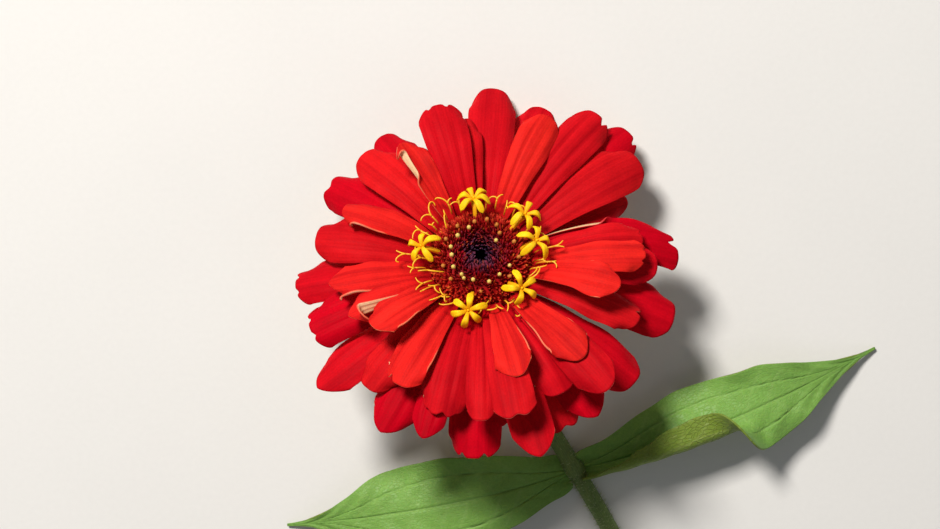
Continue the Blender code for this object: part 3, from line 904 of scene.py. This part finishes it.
# %% Star finish
def make_star_finish():
    """Golden yellow, deeper orange towards the throat; painted shade deepens it on the tube, the pin and in
    the groove of each lobe.
    """
    material, tree, shader = new_finish("star_floret", 0.55, subsurface=0.12, specular=0.2)
    along, groove = value_on(tree, "along"), value_on(tree, "groove")
    gold = mixed(tree, along, (0.84, 0.36, 0.004, 1), (0.98, 0.62, 0.004, 1))
    # Painted shade: the groove mask darkens the lobe's groove, the tube and the pin to a deeper orange.
    gold = mixed(tree, math_node(tree, "MULTIPLY", groove, 0.4), gold, (0.90, 0.42, 0.005, 1))
    skin = use_group(tree, mottle, colour=gold, patches=500.0, grain=5000.0, strength=0.35)
    finish_with(tree, shader, skin.outputs["Colour"], skin.outputs["Height"], 0.05 * MM)
    return material


star_finish = make_star_finish()
print("finish:", star_finish.name)


# %% Where each star sits
CROWD = 12  # the thin tube's rings are crowded: this many neighbours lie very near
CROWDED = 1.3 * MM
TUBE_START = 1.9 * MM  # the tube's foot lies at least this far from the star's middle
POINTS_PER_LOBE = 20
LOBES_ABOVE = 0.45 * MM  # how far the lobes' roots stand over the middle of their tips


def star_pose(node):
    """A star's middle, the way it faces, the directions of its lobes, and the foot of its tube."""
    points = corner_points(node)
    lobes = len(points) // POINTS_PER_LOBE
    apart = np.sort(np.linalg.norm(points[:, None] - points[None], axis=2), axis=1)[:, CROWD]
    tips = points[np.argsort(-apart)[: 2 * lobes]]
    middle = tips.mean(axis=0)
    facing = main_axes(tips)[0]
    facing = facing * np.sign(facing @ face_way)
    crowded = points[apart < CROWDED]
    foot = crowded[np.linalg.norm(crowded - middle, axis=1) > TUBE_START].mean(axis=0)
    lower_tips = tips[np.argsort(-np.linalg.norm(tips - middle, axis=1))[:lobes]]
    return middle + facing * LOBES_ABOVE, facing, unit(lower_tips - middle), foot


star_names = sorted(name for name in nodes if name.startswith("star"))
print("lobes on each star:", [len(star_pose(name)[2]) for name in star_names])


# %% One lobe
LOBE_ROWS, LOBE_SIDES = 16, 14
LOBE_LENGTH, LOBE_ROOT = 3.75 * MM, 0.25 * MM  # how far from the middle a lobe ends and begins
THROAT_ROWS, THROAT_SIDES, PIN_SIDES = 14, 20, 10


def lobe(middle, facing, way, chance):
    """One fleshy lobe: rings of a flattened oval along an arch, with a shallow groove on top."""
    way = unit(way - facing * (way @ facing))
    side = np.cross(facing, way)
    angles = np.linspace(0, 2 * math.pi, LOBE_SIDES, endpoint=False)
    length = LOBE_LENGTH * chance.uniform(0.86, 1.06)
    lift = chance.uniform(0.7, 1.35) * MM
    droop = chance.uniform(0.5, 1.9) * MM
    swing = chance.uniform(-0.5, 0.5) * MM
    rings, along, grooves = [], [], []
    for s in np.linspace(0, 1, LOBE_ROWS):
        round_end = math.sqrt(max(0.015, 1 - max(0.0, (s - 0.8) / 0.2) ** 2))
        width = (0.34 + 0.34 * float(step_up(s, 0.0, 0.7))) * MM * round_end
        thick = (0.28 + 0.22 * math.sin(math.pi * min(1.0, 0.1 + 0.75 * s))) * MM * round_end
        rise = lift * math.sin(math.pi * min(1.0, 0.95 * s)) - droop * s**3
        spot = middle + way * (LOBE_ROOT + s * (length - LOBE_ROOT)) + facing * rise + side * swing * s**2
        dip = np.where(np.sin(angles) > 0, 0.3 * bell(np.cos(angles), 0, 0.35), 0) * step_up(s, 0.0, 0.2)
        high = np.sin(angles) * thick * (1 - dip)
        rings.append(spot + np.outer(np.cos(angles) * width, -side) + np.outer(high, facing))
        along.append(np.full(LOBE_SIDES, min(1.0, 0.15 + 1.6 * s)))
        # The groove's depth is kept as a mask for painted shade in the finish.
        grooves.append(dip * 3)
    values = {"along": np.ravel(along), "groove": np.ravel(grooves)}
    return np.reshape(rings, (-1, 3)), ring_faces(LOBE_ROWS, LOBE_SIDES), values


# %% A whole star
def star_shape(node):
    """A whole floret."""
    chance = random.Random(node)
    middle, facing, ways, foot = star_pose(node)
    shapes = [lobe(middle, facing, way, chance) for way in ways]
    throat = middle - facing * 0.7 * MM
    share = np.linspace(0, 1, THROAT_ROWS)[:, None]
    bow = np.sin(math.pi * share) * face_way * 0.4 * MM
    path = np.vstack([foot * (1 - share) + throat * share + bow, middle - facing * 0.1 * MM])
    angles = np.linspace(0, 2 * math.pi, THROAT_SIDES, endpoint=False)
    girth = np.append(0.42 + 0.15 * share[:, 0] ** 3, 0.75) * MM
    radii = girth[:, None] * (1 + 0.09 * np.cos(5 * angles))
    along = np.append(0.1 + 0.35 * share[:, 0], 0.2)
    # The tube and the pin carry painted shade through their groove value.
    shapes.append(tube(path, radii, THROAT_SIDES, along=along, groove=0 * along + 0.4))
    pin = [middle - facing * 0.3 * MM, middle + facing * 0.45 * MM, middle + facing * 0.8 * MM]
    pin_radii = np.array([0.3, 0.26, 0.12]) * MM
    shapes.append(tube(pin, pin_radii, PIN_SIDES, along=np.full(3, 0.6), groove=np.full(3, 0.5)))
    return heap(shapes)


for name in star_names:
    add_piece(f"{name}_bloom", star_shape(name), [star_finish], [name])
print("stars:", len(star_names))

# %% [markdown]
# ## Styles
# At the foot of each ray petal a thread comes up and parts into two arms that curl back. They are what
# gives the rim of the disc its tangle of orange curls. Each is three thin tubes: a stalk and two arms.

# %% Where the styles stand
# Style: angle round the head in degrees, distance out of its foot, its height, how far it leans out, and
# its twist.
STYLES = [
    (112, 10.0, 3.6, 0.7, 20), (122, 10.6, 3.8, 0.9, -30), (131, 9.8, 4.0, 0.4, 60),
    (140, 10.8, 3.6, 1.1, 10), (149, 9.9, 4.2, 0.6, -50), (158, 10.9, 3.8, 1.2, 35),
    (163, 9.6, 4.4, 0.3, 80), (186, 10.2, 4.2, 0.9, -20), (194, 10.9, 3.8, 1.5, 25),
    (201, 9.9, 4.2, 0.6, 70), (209, 10.7, 3.8, 1.3, -40), (218, 9.9, 3.6, 0.8, 15),
    (229, 10.4, 3.4, 0.7, 50), (84, 9.8, 3.8, 0.5, -25), (74, 10.4, 3.6, 0.8, 30),
    (62, 9.8, 3.8, 0.5, -60), (53, 10.3, 3.6, 0.7, 15), (28, 9.8, 4.0, 0.5, 40),
    (21, 10.5, 3.6, 0.9, -10), (-6, 10.3, 3.6, 1.0, 25), (-17, 10.0, 3.8, 0.7, -45),
    (-29, 10.2, 3.4, 0.6, 10), (-63, 10.2, 3.2, 0.8, 30), (-74, 10.6, 3.0, 0.7, -20),
    (-88, 10.0, 3.2, 0.5, 55), (4, 10.6, 3.8, 2.6, 60), (180, 10.8, 3.6, 2.6, 20),
    (-56, 10.6, 3.0, 2.2, -50), (-78, 10.8, 3.0, 2.4, 40), (214, 10.8, 3.4, 2.0, 30),
    (-8, 10.8, 3.4, 2.2, -30), (-116, 10.4, 3.0, 0.7, 15), (-128, 10.2, 3.2, 0.6, -35),
]
STYLE_RADIUS = 0.16 * MM
STYLE_SIDES, STALK_ROWS, ARM_ROWS = 7, 9, 14
print("styles listed:", len(STYLES))


# %% Style finish
def make_style_finish():
    """Orange on the stalk, yellow on the arms."""
    material, tree, shader = new_finish("style", 0.45, subsurface=0.1)
    colour = mixed(tree, value_on(tree, "along"), (0.75, 0.20, 0.008, 1), (0.95, 0.55, 0.012, 1))
    skin = use_group(tree, mottle, colour=colour, patches=900.0, grain=5000.0, strength=0.5)
    finish_with(tree, shader, skin.outputs["Colour"], skin.outputs["Height"], 0.03 * MM)
    return material


# %% A stalk and two curled arms
def style(azimuth, radius, height, lean, twist, chance):
    """A stalk and its two arms."""
    out = round_head(azimuth, 1.0, 0.0)
    across = round_head(azimuth + 90 + twist, 1.0, 0.0)
    upward = np.array([0, 0, 1.0])
    share = np.linspace(0, 1, STALK_ROWS)[:, None]
    tall = chance.uniform(1.3, 3.0) * MM
    foot = out * radius * MM + upward * (height - 0.6) * MM
    stalk = foot + upward * share * tall + out * lean * share**2 * 1.4 * MM
    radii = np.full(STALK_ROWS, STYLE_RADIUS)
    shapes = [tube(from_head(stalk), radii, STYLE_SIDES, along=0.6 * share[:, 0])]
    onward = unit(upward * 1.0 + out * lean * 1.6)
    for hand in (-1, 1):
        turn = np.linspace(0, chance.uniform(1.3, 3.9), ARM_ROWS)[:, None]
        loop = chance.uniform(0.45, 1.1) * MM
        sideways = unit(across * hand + out * 0.5 * lean)
        aside = (1 - np.cos(turn)) * (1 + 0.12 * turn)
        arm = stalk[-1] + onward * loop * np.sin(turn) + sideways * loop * aside
        radii = STYLE_RADIUS * (1 - 0.45 * (turn[:, 0] / turn[-1, 0]) ** 2)
        shapes.append(tube(from_head(arm), radii, STYLE_SIDES, along=0.6 + 0.4 * turn[:, 0] / turn[-1, 0]))
    return heap(shapes)


style_chance = random.Random(11)
style_shapes = [style(*row, style_chance) for row in STYLES]
add_piece("styles", heap(style_shapes), [make_style_finish()])
print("styles:", len(style_shapes))

# %% [markdown]
# ## The back of the head
# Behind the petals, rows of rounded green bracts overlap like roof tiles and close the cup. Each has a
# thin dark edge. They are laid in rings along the cup's own outline, every ring shifted by half a bract,
# over a plain core that the stem runs into.

# %% Bract finish
def make_bract_finish():
    """Leafy green, paler at the foot, with a dark brown margin."""
    material, tree, shader = new_finish("bract", 0.55, sheen=0.08, subsurface=0.06)
    along, across, edge = value_on(tree, "along"), value_on(tree, "across"), value_on(tree, "edge")
    green = mixed(tree, along, (0.24, 0.32, 0.09, 1), (0.10, 0.19, 0.035, 1))
    lines = use_group(tree, ribs, across=across, along=along, count=16.0, sharpness=3.0).outputs[0]
    green = mixed(tree, math_node(tree, "MULTIPLY", lines, 0.25), green, (0.06, 0.12, 0.02, 1))
    green = mixed(tree, edge, green, (0.05, 0.016, 0.01, 1))
    skin = use_group(tree, mottle, colour=green, patches=400.0, grain=2500.0, strength=0.5)
    finish_with(tree, shader, skin.outputs["Colour"], skin.outputs["Height"], 0.05 * MM)
    return material


bract_finish = make_bract_finish()
print("finish:", bract_finish.name)

# %% The cup's core
cup_outline = np.array([(radius, height) for radius, height in profile("involucre") if radius > 0.1 * MM])
core_side = cup_outline - [0.15 * MM, 0]
core_outline = [(0.2 * MM, core_side[0][1]), *core_side, (0.2 * MM, core_side[-1][1])]
core = turned_shape(np.array(core_outline), TURNED_SIDES, 0.004, along=0.5, across=0.0, edge=0.0)
add_piece("receptacle", core, [bract_finish], ["involucre"])
print("cup outline in mm:", (cup_outline / MM).round(1).tolist())

# %% Rings of bracts
cup_side = finer(cup_outline[cup_outline[:, 1] < -5.4 * MM], 60)
# Ring: how many bracts, where they start and end along the cup's side, and how far they stand off it in mm.
BRACT_RINGS = [(13, 0.42, 1.12, 0.15), (13, 0.22, 0.88, 0.42), (12, 0.06, 0.62, 0.70), (9, 0.0, 0.36, 0.95)]
BRACT_ROWS, BRACT_COLUMNS = 16, 13


def bract(azimuth, begin, end, stand, spread, chance):
    """One bract, bent to the cup."""
    s, v = np.meshgrid(np.linspace(0, 1, BRACT_ROWS), np.linspace(-1, 1, BRACT_COLUMNS), indexing="ij")
    place = begin + (end - begin) * s * (1 - 0.16 * np.abs(v) ** 2.5 * s)
    spots = np.clip(place, 0, 1)
    radius = np.interp(spots, np.linspace(0, 1, len(cup_side)), cup_side[:, 0])
    height = np.interp(spots, np.linspace(0, 1, len(cup_side)), cup_side[:, 1])
    height = height + np.maximum(0, place - 1) * 9 * MM
    broad = np.sqrt(1 - np.clip((s - 0.55) / 0.45, 0, 1) ** 2 * 0.75) * (0.8 + 0.2 * step_up(s, 0, 0.4))
    angle = math.radians(azimuth) + spread * v * broad
    bulge = stand * MM + 0.28 * MM * (1 - v**2) * np.sin(math.pi * np.clip(s, 0, 0.8)) + 0.25 * MM * s**4
    bulge = bulge + chance.uniform(-0.05, 0.08) * MM
    radius = radius + bulge
    height = height - 0.5 * bulge * (1 - s)
    points = np.stack([radius * np.cos(angle), radius * np.sin(angle), height], -1).reshape(-1, 3)
    edge = np.clip(step_up(np.abs(v), 0.8, 0.2) * step_up(s, 0.35, 0.3) + step_up(s, 0.86, 0.12), 0, 1)
    values = {"along": s.ravel(), "across": v.ravel(), "edge": edge.ravel()}
    return from_head(points), flipped(sheet_faces(BRACT_ROWS, BRACT_COLUMNS)), values


def flipped(faces):
    """The same faces, facing the other way."""
    return [tuple(reversed(face)) for face in faces]


bract_chance = random.Random(21)
bract_shapes = []
for ring_number, (count, begin, end, stand) in enumerate(BRACT_RINGS):
    for index in range(count):
        azimuth = 360 / count * (index + 0.5 * (ring_number % 2)) + bract_chance.uniform(-3, 3)
        spread = 1.3 * math.pi / count
        bract_shapes.append(bract(azimuth, begin, end, stand, spread, bract_chance))
add_piece("bracts", heap(bract_shapes), [bract_finish], thickness=0.22 * MM)
print("bracts:", len(bract_shapes))

# %% [markdown]
# ## Stem
# A zinnia's stem is finely ribbed, swells where the leaves join it and bristles with short stiff hairs.
# The frame's tube is walked ring by ring from its cut end to find its middle line. The cut shows a green
# rind round pale pith.

# %% Stem finish
def make_stem_finish():
    """Dark green with paler ribs, and pale pith at the cut."""
    material, tree, shader = new_finish("stem", 0.55, sheen=0.1, subsurface=0.05, specular=0.35)
    along, across, pith = value_on(tree, "along"), value_on(tree, "across"), value_on(tree, "pith")
    green = mixed(tree, along, (0.10, 0.17, 0.035, 1), (0.16, 0.24, 0.06, 1))
    lines = use_group(tree, ribs, across=across, along=along, count=22.0, sharpness=2.0).outputs[0]
    green = mixed(tree, math_node(tree, "MULTIPLY", lines, 0.35), green, (0.24, 0.33, 0.11, 1))
    green = mixed(tree, pith, green, (0.66, 0.70, 0.42, 1))
    skin = use_group(tree, mottle, colour=green, patches=350.0, grain=2200.0, strength=0.6)
    height = math_node(tree, "MULTIPLY_ADD", lines, 0.6, skin.outputs["Height"])
    finish_with(tree, shader, skin.outputs["Colour"], height, 0.06 * MM)
    return material


# %% The stem's middle line
TUBE_SIDES = 10
LEAF_ROWS, LEAF_COLUMNS = 13, 7


def ring_middles(node, way):
    """Middles of a tube part's rings, walked from the end that lies farthest that way."""
    work = joined(node)
    ring = set(sorted(work.verts, key=lambda corner: -corner.co.dot(way))[:TUBE_SIDES])
    seen, middles = set(), []
    while ring:
        middles.append(np.mean([corner.co[:] for corner in ring], axis=0))
        seen |= ring
        ring = {edge.other_vert(corner) for corner in ring for edge in corner.link_edges} - seen
    work.free()
    return np.array(middles[::-1])


INTO_CUP = 0.5 * MM  # how far the skin's neck runs on into the cup
stem_line = ring_middles("stem", Vector((0, -1, 0)))
stem_line[0] = stem_line[0] + face_way * INTO_CUP
STEM_RINGS, STEM_SIDES = 170, 32
SKIN_SHARE = 0.97  # the skin's radius, as a share of the plain solid's, before its ribs and swellings
# How much the skin swells where the leaves join and at the neck, and over what share of the stem.
NODE_SWELL, NODE_LENGTH = 0.22, 0.018
NECK_SWELL, NECK_LENGTH = 0.35, 0.035
FLOOR_GAP = 0.05 * MM
stem_path = smooth_pulls(np.linspace(0, 1, STEM_RINGS), len(stem_line)) @ stem_line
stem_share = np.linspace(0, 1, STEM_RINGS)
stem_radius = stem_line[-1][2]  # the cut end lies on the surface, so its middle is this high
stem_middle = corner_points("stem").mean(axis=0)


def leaf_root(node):
    """Where a leaf meets the stem: the middle of the corners in its row nearest to the stem."""
    corners = corner_points(node)
    nearest = np.argsort(np.linalg.norm(corners - stem_middle, axis=1))
    return corners[nearest[: 2 * LEAF_COLUMNS]].mean(axis=0)


leaf_roots = (leaf_root("leaf_left") + leaf_root("leaf_right")) / 2
node_share = float(stem_share[np.argmin(np.linalg.norm(stem_path - leaf_roots, axis=1))])
print("stem rings:", len(stem_line), "radius in mm:", round(stem_radius / MM, 2))
print("leaves join at:", round(node_share, 2))


# %% Ribbed tube with a cut end
def stem_shape():
    """The stem's skin."""
    angles = np.linspace(0, 2 * math.pi, STEM_SIDES, endpoint=False)
    swell = 1 + NODE_SWELL * bell(stem_share, node_share, NODE_LENGTH)
    swell = swell + NECK_SWELL * bell(stem_share, 0, NECK_LENGTH)
    rib = 1 + 0.025 * np.cos(10 * angles)[None, :] + 0.012 * np.sin(3 * angles + 9 * stem_share[:, None])
    radii = SKIN_SHARE * stem_radius * swell[:, None] * rib
    way = unit(stem_path[-1] - stem_path[-2])
    rings = tube_rings(stem_path, radii, STEM_SIDES)
    middle = stem_path[-1]
    inner = middle + (rings[-1] - middle) * 0.84 + way * 0.05 * MM
    centre = middle + (rings[-1] - middle) * 0.04 - way * 0.15 * MM
    rings = np.concatenate([rings, [inner, centre]])
    rings[..., 2] = np.maximum(rings[..., 2], FLOOR_GAP)
    along = np.repeat([*stem_share, 1, 1], STEM_SIDES)
    across = np.tile(2 * np.abs(angles / math.pi - 1) - 1, len(rings))
    pith = np.repeat([0.0] * STEM_RINGS + [0.85, 1.0], STEM_SIDES)
    values = {"along": along, "across": across, "pith": pith}
    return rings.reshape(-1, 3), ring_faces(len(rings), STEM_SIDES), values


stem_finish = make_stem_finish()
stem_skin = add_piece("stem_skin", stem_shape(), [stem_finish], ["stem"])
print("stem skin corners:", len(stem_skin.data.vertices))

# %% [markdown]
# The hairs are small cones that stand nearly straight out, all round the stem except underneath.

# %% Stem hairs
HAIRS = 700
HAIR_RADII = np.array([0.05, 0.035, 0.008]) * MM
HAIR_SIDES = 4
BARE_BELOW = -0.55  # no hairs where the stem's skin faces down more than this


def stem_hairs():
    """Short stiff hairs on the stem, kept above the surface that it lies on."""
    chance = random.Random(31)
    rings = tube_rings(stem_path, np.full(STEM_RINGS, stem_radius * 0.95), STEM_SIDES)
    shapes = []
    while len(shapes) < HAIRS:
        row, side = chance.randrange(4, STEM_RINGS - 2), chance.randrange(STEM_SIDES)
        foot = rings[row, side]
        out = unit(foot - stem_path[row])
        if out[2] < BARE_BELOW:
            continue
        way = unit(stem_path[row] - stem_path[row + 1])
        length = chance.uniform(0.45, 1.1) * MM
        tip = foot + out * length + way * length * chance.uniform(0.1, 0.6)
        path = np.array([foot, (foot + tip) / 2 + way * 0.05 * MM, tip])
        path[:, 2] = np.maximum(path[:, 2], 2 * FLOOR_GAP)
        pale = np.array([0.3, 0.7, 1.0])
        values = {"along": np.full(3, row / STEM_RINGS), "across": np.zeros(3), "pith": pale}
        shapes.append(tube(path, HAIR_RADII, HAIR_SIDES, **values))
    return heap(shapes)


add_piece("stem_hairs", stem_hairs(), [stem_finish])
print("hairs:", HAIRS)

# %% [markdown]
# ## Leaves
# A zinnia's leaves stand in pairs and clasp the stem without a stalk. Three nerves leave the base: the
# midrib, and two that follow the margins. Smaller veins link them, the tissue puckers up between, and the
# edge waves. Where a vein runs is worked out for every point of the sheet. A nerve sinks the skin and pales
# it, and a smaller vein only pales it.

# %% Leaf finishes
def make_leaf_finish(name, body, pale, relief):
    """One side of a leaf."""
    material, tree, shader = new_finish(name, 0.5, sheen=0.05, subsurface=0.08, specular=0.22)
    along, across, vein = value_on(tree, "along"), value_on(tree, "across"), value_on(tree, "vein")
    long_way = math_node(tree, "MULTIPLY", along, 3.2)
    web = use_group(tree, net, across=across, along=long_way, cells=16.0, width=0.1).outputs[0]
    colour = mixed(tree, math_node(tree, "MULTIPLY", web, 0.14), body, pale)
    colour = mixed(tree, math_node(tree, "MULTIPLY", vein, 0.5), colour, pale)
    skin = use_group(tree, mottle, colour=colour, patches=90.0, grain=1800.0, strength=0.3)
    height = math_node(tree, "MULTIPLY_ADD", web, relief, skin.outputs["Height"])
    finish_with(tree, shader, skin.outputs["Colour"], height, 0.09 * MM)
    roughness_from(tree, shader, web, 0.45, 0.6)
    return material


leaf_face = make_leaf_finish("leaf_face", (0.18, 0.36, 0.065, 1), (0.30, 0.47, 0.14, 1), -0.5)
leaf_back = make_leaf_finish("leaf_back", (0.17, 0.25, 0.03, 1), (0.34, 0.42, 0.12, 1), 1.2)
print("leaf finishes:", leaf_face.name, leaf_back.name)

# %% Veins
LEAVES = "leaf_left", "leaf_right"
LEAF_FINE = (150, 65)
SIDE_VEINS = 8
VEIN_STEP = 0.095
# Rolled edge: the same five numbers as for a petal.
LEAF_ROLLS = {"leaf_right": (-1, 0.10, -0.14, 0.58, 172)}
LEAF_ROLL_RADIUS = 1.7 * MM
LEAF_SKIN = 0.38 * MM
LEAF_LOWEST = 0.25 * MM  # the lowest that a leaf's middle surface comes to the floor


def leaf_veins(s, v):
    """How much of a vein there is at each place, from 0 to 1, and how much of a nerve."""
    nerve_place = 0.60 * np.sin(math.pi * np.clip(s, 0, 1) ** 0.75) ** 0.8
    thin = 1 - 0.6 * s
    vein = bell(v, 0, 0.035 * thin)
    for hand in (-1, 1):
        vein = np.maximum(vein, 0.85 * bell(v, hand * nerve_place, 0.026 * thin))
    depth = vein.copy()
    for index in range(SIDE_VEINS):
        start = 0.16 + VEIN_STEP * index
        swing = start + 0.10 * np.abs(v) ** 1.3 + 0.012 * (np.sign(v) * (-1) ** index)
        branch = 0.45 * bell(s, swing, 0.006) * step_up(-np.abs(v), -0.95, 0.2)
        vein = np.maximum(vein, branch)
    return vein, depth


print("side veins on a leaf:", 2 * SIDE_VEINS)


# %% A leaf's sheet
def leaf_shape(node, chance):
    """One leaf's fine sheet, pointed at its tip and clasping at its root."""
    corners = corner_points(node)
    onward = main_axes(corners)[2]
    onward = onward * np.sign((corners.mean(axis=0) - stem_line.mean(axis=0)) @ onward)
    grid = middle_grid(corners, LEAF_ROWS, LEAF_COLUMNS, onward, np.array([0, 0, 1.0]))
    s, v = np.meshgrid(np.linspace(0, 1, LEAF_FINE[0]), np.linspace(-1, 1, LEAF_FINE[1]), indexing="ij")
    taper = 1 - 0.93 * step_up(s, 0.62, 0.40) ** 0.85
    wide = v * taper * (1 + 0.55 * bell(s, 0.0, 0.06))
    t = -0.03 + 1.03 * s - 0.02 * bell(s, 0, 0.05) * (1 - v**2)
    points = on_sheet(grid, t, (wide + 1) / 2)
    vein, depth = leaf_veins(s, v)
    pucker = np.sin(2 * math.pi * (s / VEIN_STEP + 1.1 * np.abs(v))) * (1 - depth)
    pucker = pucker * np.sin(math.pi * np.abs(v)) ** 2
    edge_wave = np.sin(2 * math.pi * (5.5 * s + chance.uniform(0, 1))) * np.abs(v) ** 3
    edge_wave = edge_wave * step_up(s, 0.08, 0.2)
    relief = 0.16 * pucker - 0.45 * depth + 0.45 * edge_wave * (1 - step_up(s, 0.85, 0.15))
    points = points + sheet_normals(points) * (relief * MM)[..., None]
    if node in LEAF_ROLLS:
        points = roll_edge(points, s, v, LEAF_ROLLS[node], LEAF_ROLL_RADIUS)
    points[..., 2] = np.maximum(points[..., 2], LEAF_LOWEST)
    values = {"along": s, "across": v, "vein": vein}
    return points.reshape(-1, 3), sheet_faces(*LEAF_FINE), values


leaf_chance = random.Random(41)
for name in LEAVES:
    shape = leaf_shape(name, leaf_chance)
    add_piece(f"{name}_skin", shape, [leaf_face, leaf_back], [name], thickness=LEAF_SKIN)
print("leaves:", len(LEAVES))

# %% [markdown]
# ## Floor, light and camera
# The flower lies on a pale matt surface. One soft light stands high beyond the top of the head, so the
# petals that face it glow and those on the near side fall into shade. A weak fill and a dim sky keep the
# shade from going black. The camera looks down on the head from a little off its axis, through a long
# lens.

# %% Floor
def make_floor_finish():
    """A pale matt surface with the faintest grain."""
    material, tree, shader = new_finish("pale_floor", 0.85, specular=0.15)
    skin = use_group(tree, mottle, colour=(0.80, 0.79, 0.76, 1), patches=30.0, grain=900.0, strength=0.04)
    finish_with(tree, shader, skin.outputs["Colour"], skin.outputs["Height"], 0.02 * MM)
    return material


FLOOR_SIDE = 6.0
bpy.ops.mesh.primitive_plane_add(size=FLOOR_SIDE, location=(0, 0, frame_low.z - 0.02 * MM))
floor = bpy.context.object
floor.name = "floor"
floor.data.materials.append(make_floor_finish())
print("floor side in metres:", FLOOR_SIDE)


# %% Light
def add_light(name, place, side, power, colour):
    """A square soft light that looks at the head."""
    light = bpy.data.lights.new(name, "AREA")
    light.size = side
    light.energy = power
    light.color = colour
    lamp = bpy.data.objects.new(name, light)
    lamp.location = place
    lamp.rotation_euler = (Vector(head_origin) - Vector(place)).to_track_quat("-Z", "Y").to_euler()
    bpy.context.scene.collection.objects.link(lamp)


# Light: its place in metres, its side, its power and its colour.
add_light("key", (-0.34, 0.54, 0.74), 0.20, 11.2, (1.0, 0.96, 0.92))
add_light("fill", (0.5, -0.7, 0.9), 0.8, 0.8, (0.95, 0.97, 1.0))
world = bpy.data.worlds.new("soft_sky")
world.use_nodes = True
world.node_tree.nodes["Background"].inputs["Color"].default_value = (0.93, 0.96, 1.0, 1)
world.node_tree.nodes["Background"].inputs["Strength"].default_value = 0.14
bpy.context.scene.world = world
bpy.context.scene.view_settings.view_transform = "Standard"
print("lights:", sorted(light.name for light in bpy.data.lights))

# %% Camera
CAMERA_TILT = math.radians(22)
CAMERA_DISTANCE = 0.509
CAMERA_ASIDE, CAMERA_BELOW = 2.05 * MM, 0.39 * MM  # how far it stands off the line to the head's middle
back_way = Vector(head_axes.T @ (0, -math.sin(CAMERA_TILT), math.cos(CAMERA_TILT)))
up_way = Vector(head_axes.T @ (0, math.cos(CAMERA_TILT), math.sin(CAMERA_TILT)))
side_way = up_way.cross(back_way)
lens = bpy.data.cameras.new("camera")
lens.lens = 100
lens.sensor_width = 36
lens.clip_start = 0.01
camera = bpy.data.objects.new("camera", lens)
place = Vector(head_origin) + back_way * CAMERA_DISTANCE - side_way * CAMERA_ASIDE - up_way * CAMERA_BELOW
turn = Matrix((side_way, up_way, back_way)).transposed().to_4x4()
camera.matrix_world = Matrix.Translation(place) @ turn
bpy.context.scene.collection.objects.link(camera)
bpy.context.scene.camera = camera
print("camera at", np.round(place, 3))

# %% [markdown]
# Last, the scene is brought up to date.

# %% Up to date
bpy.context.view_layer.update()
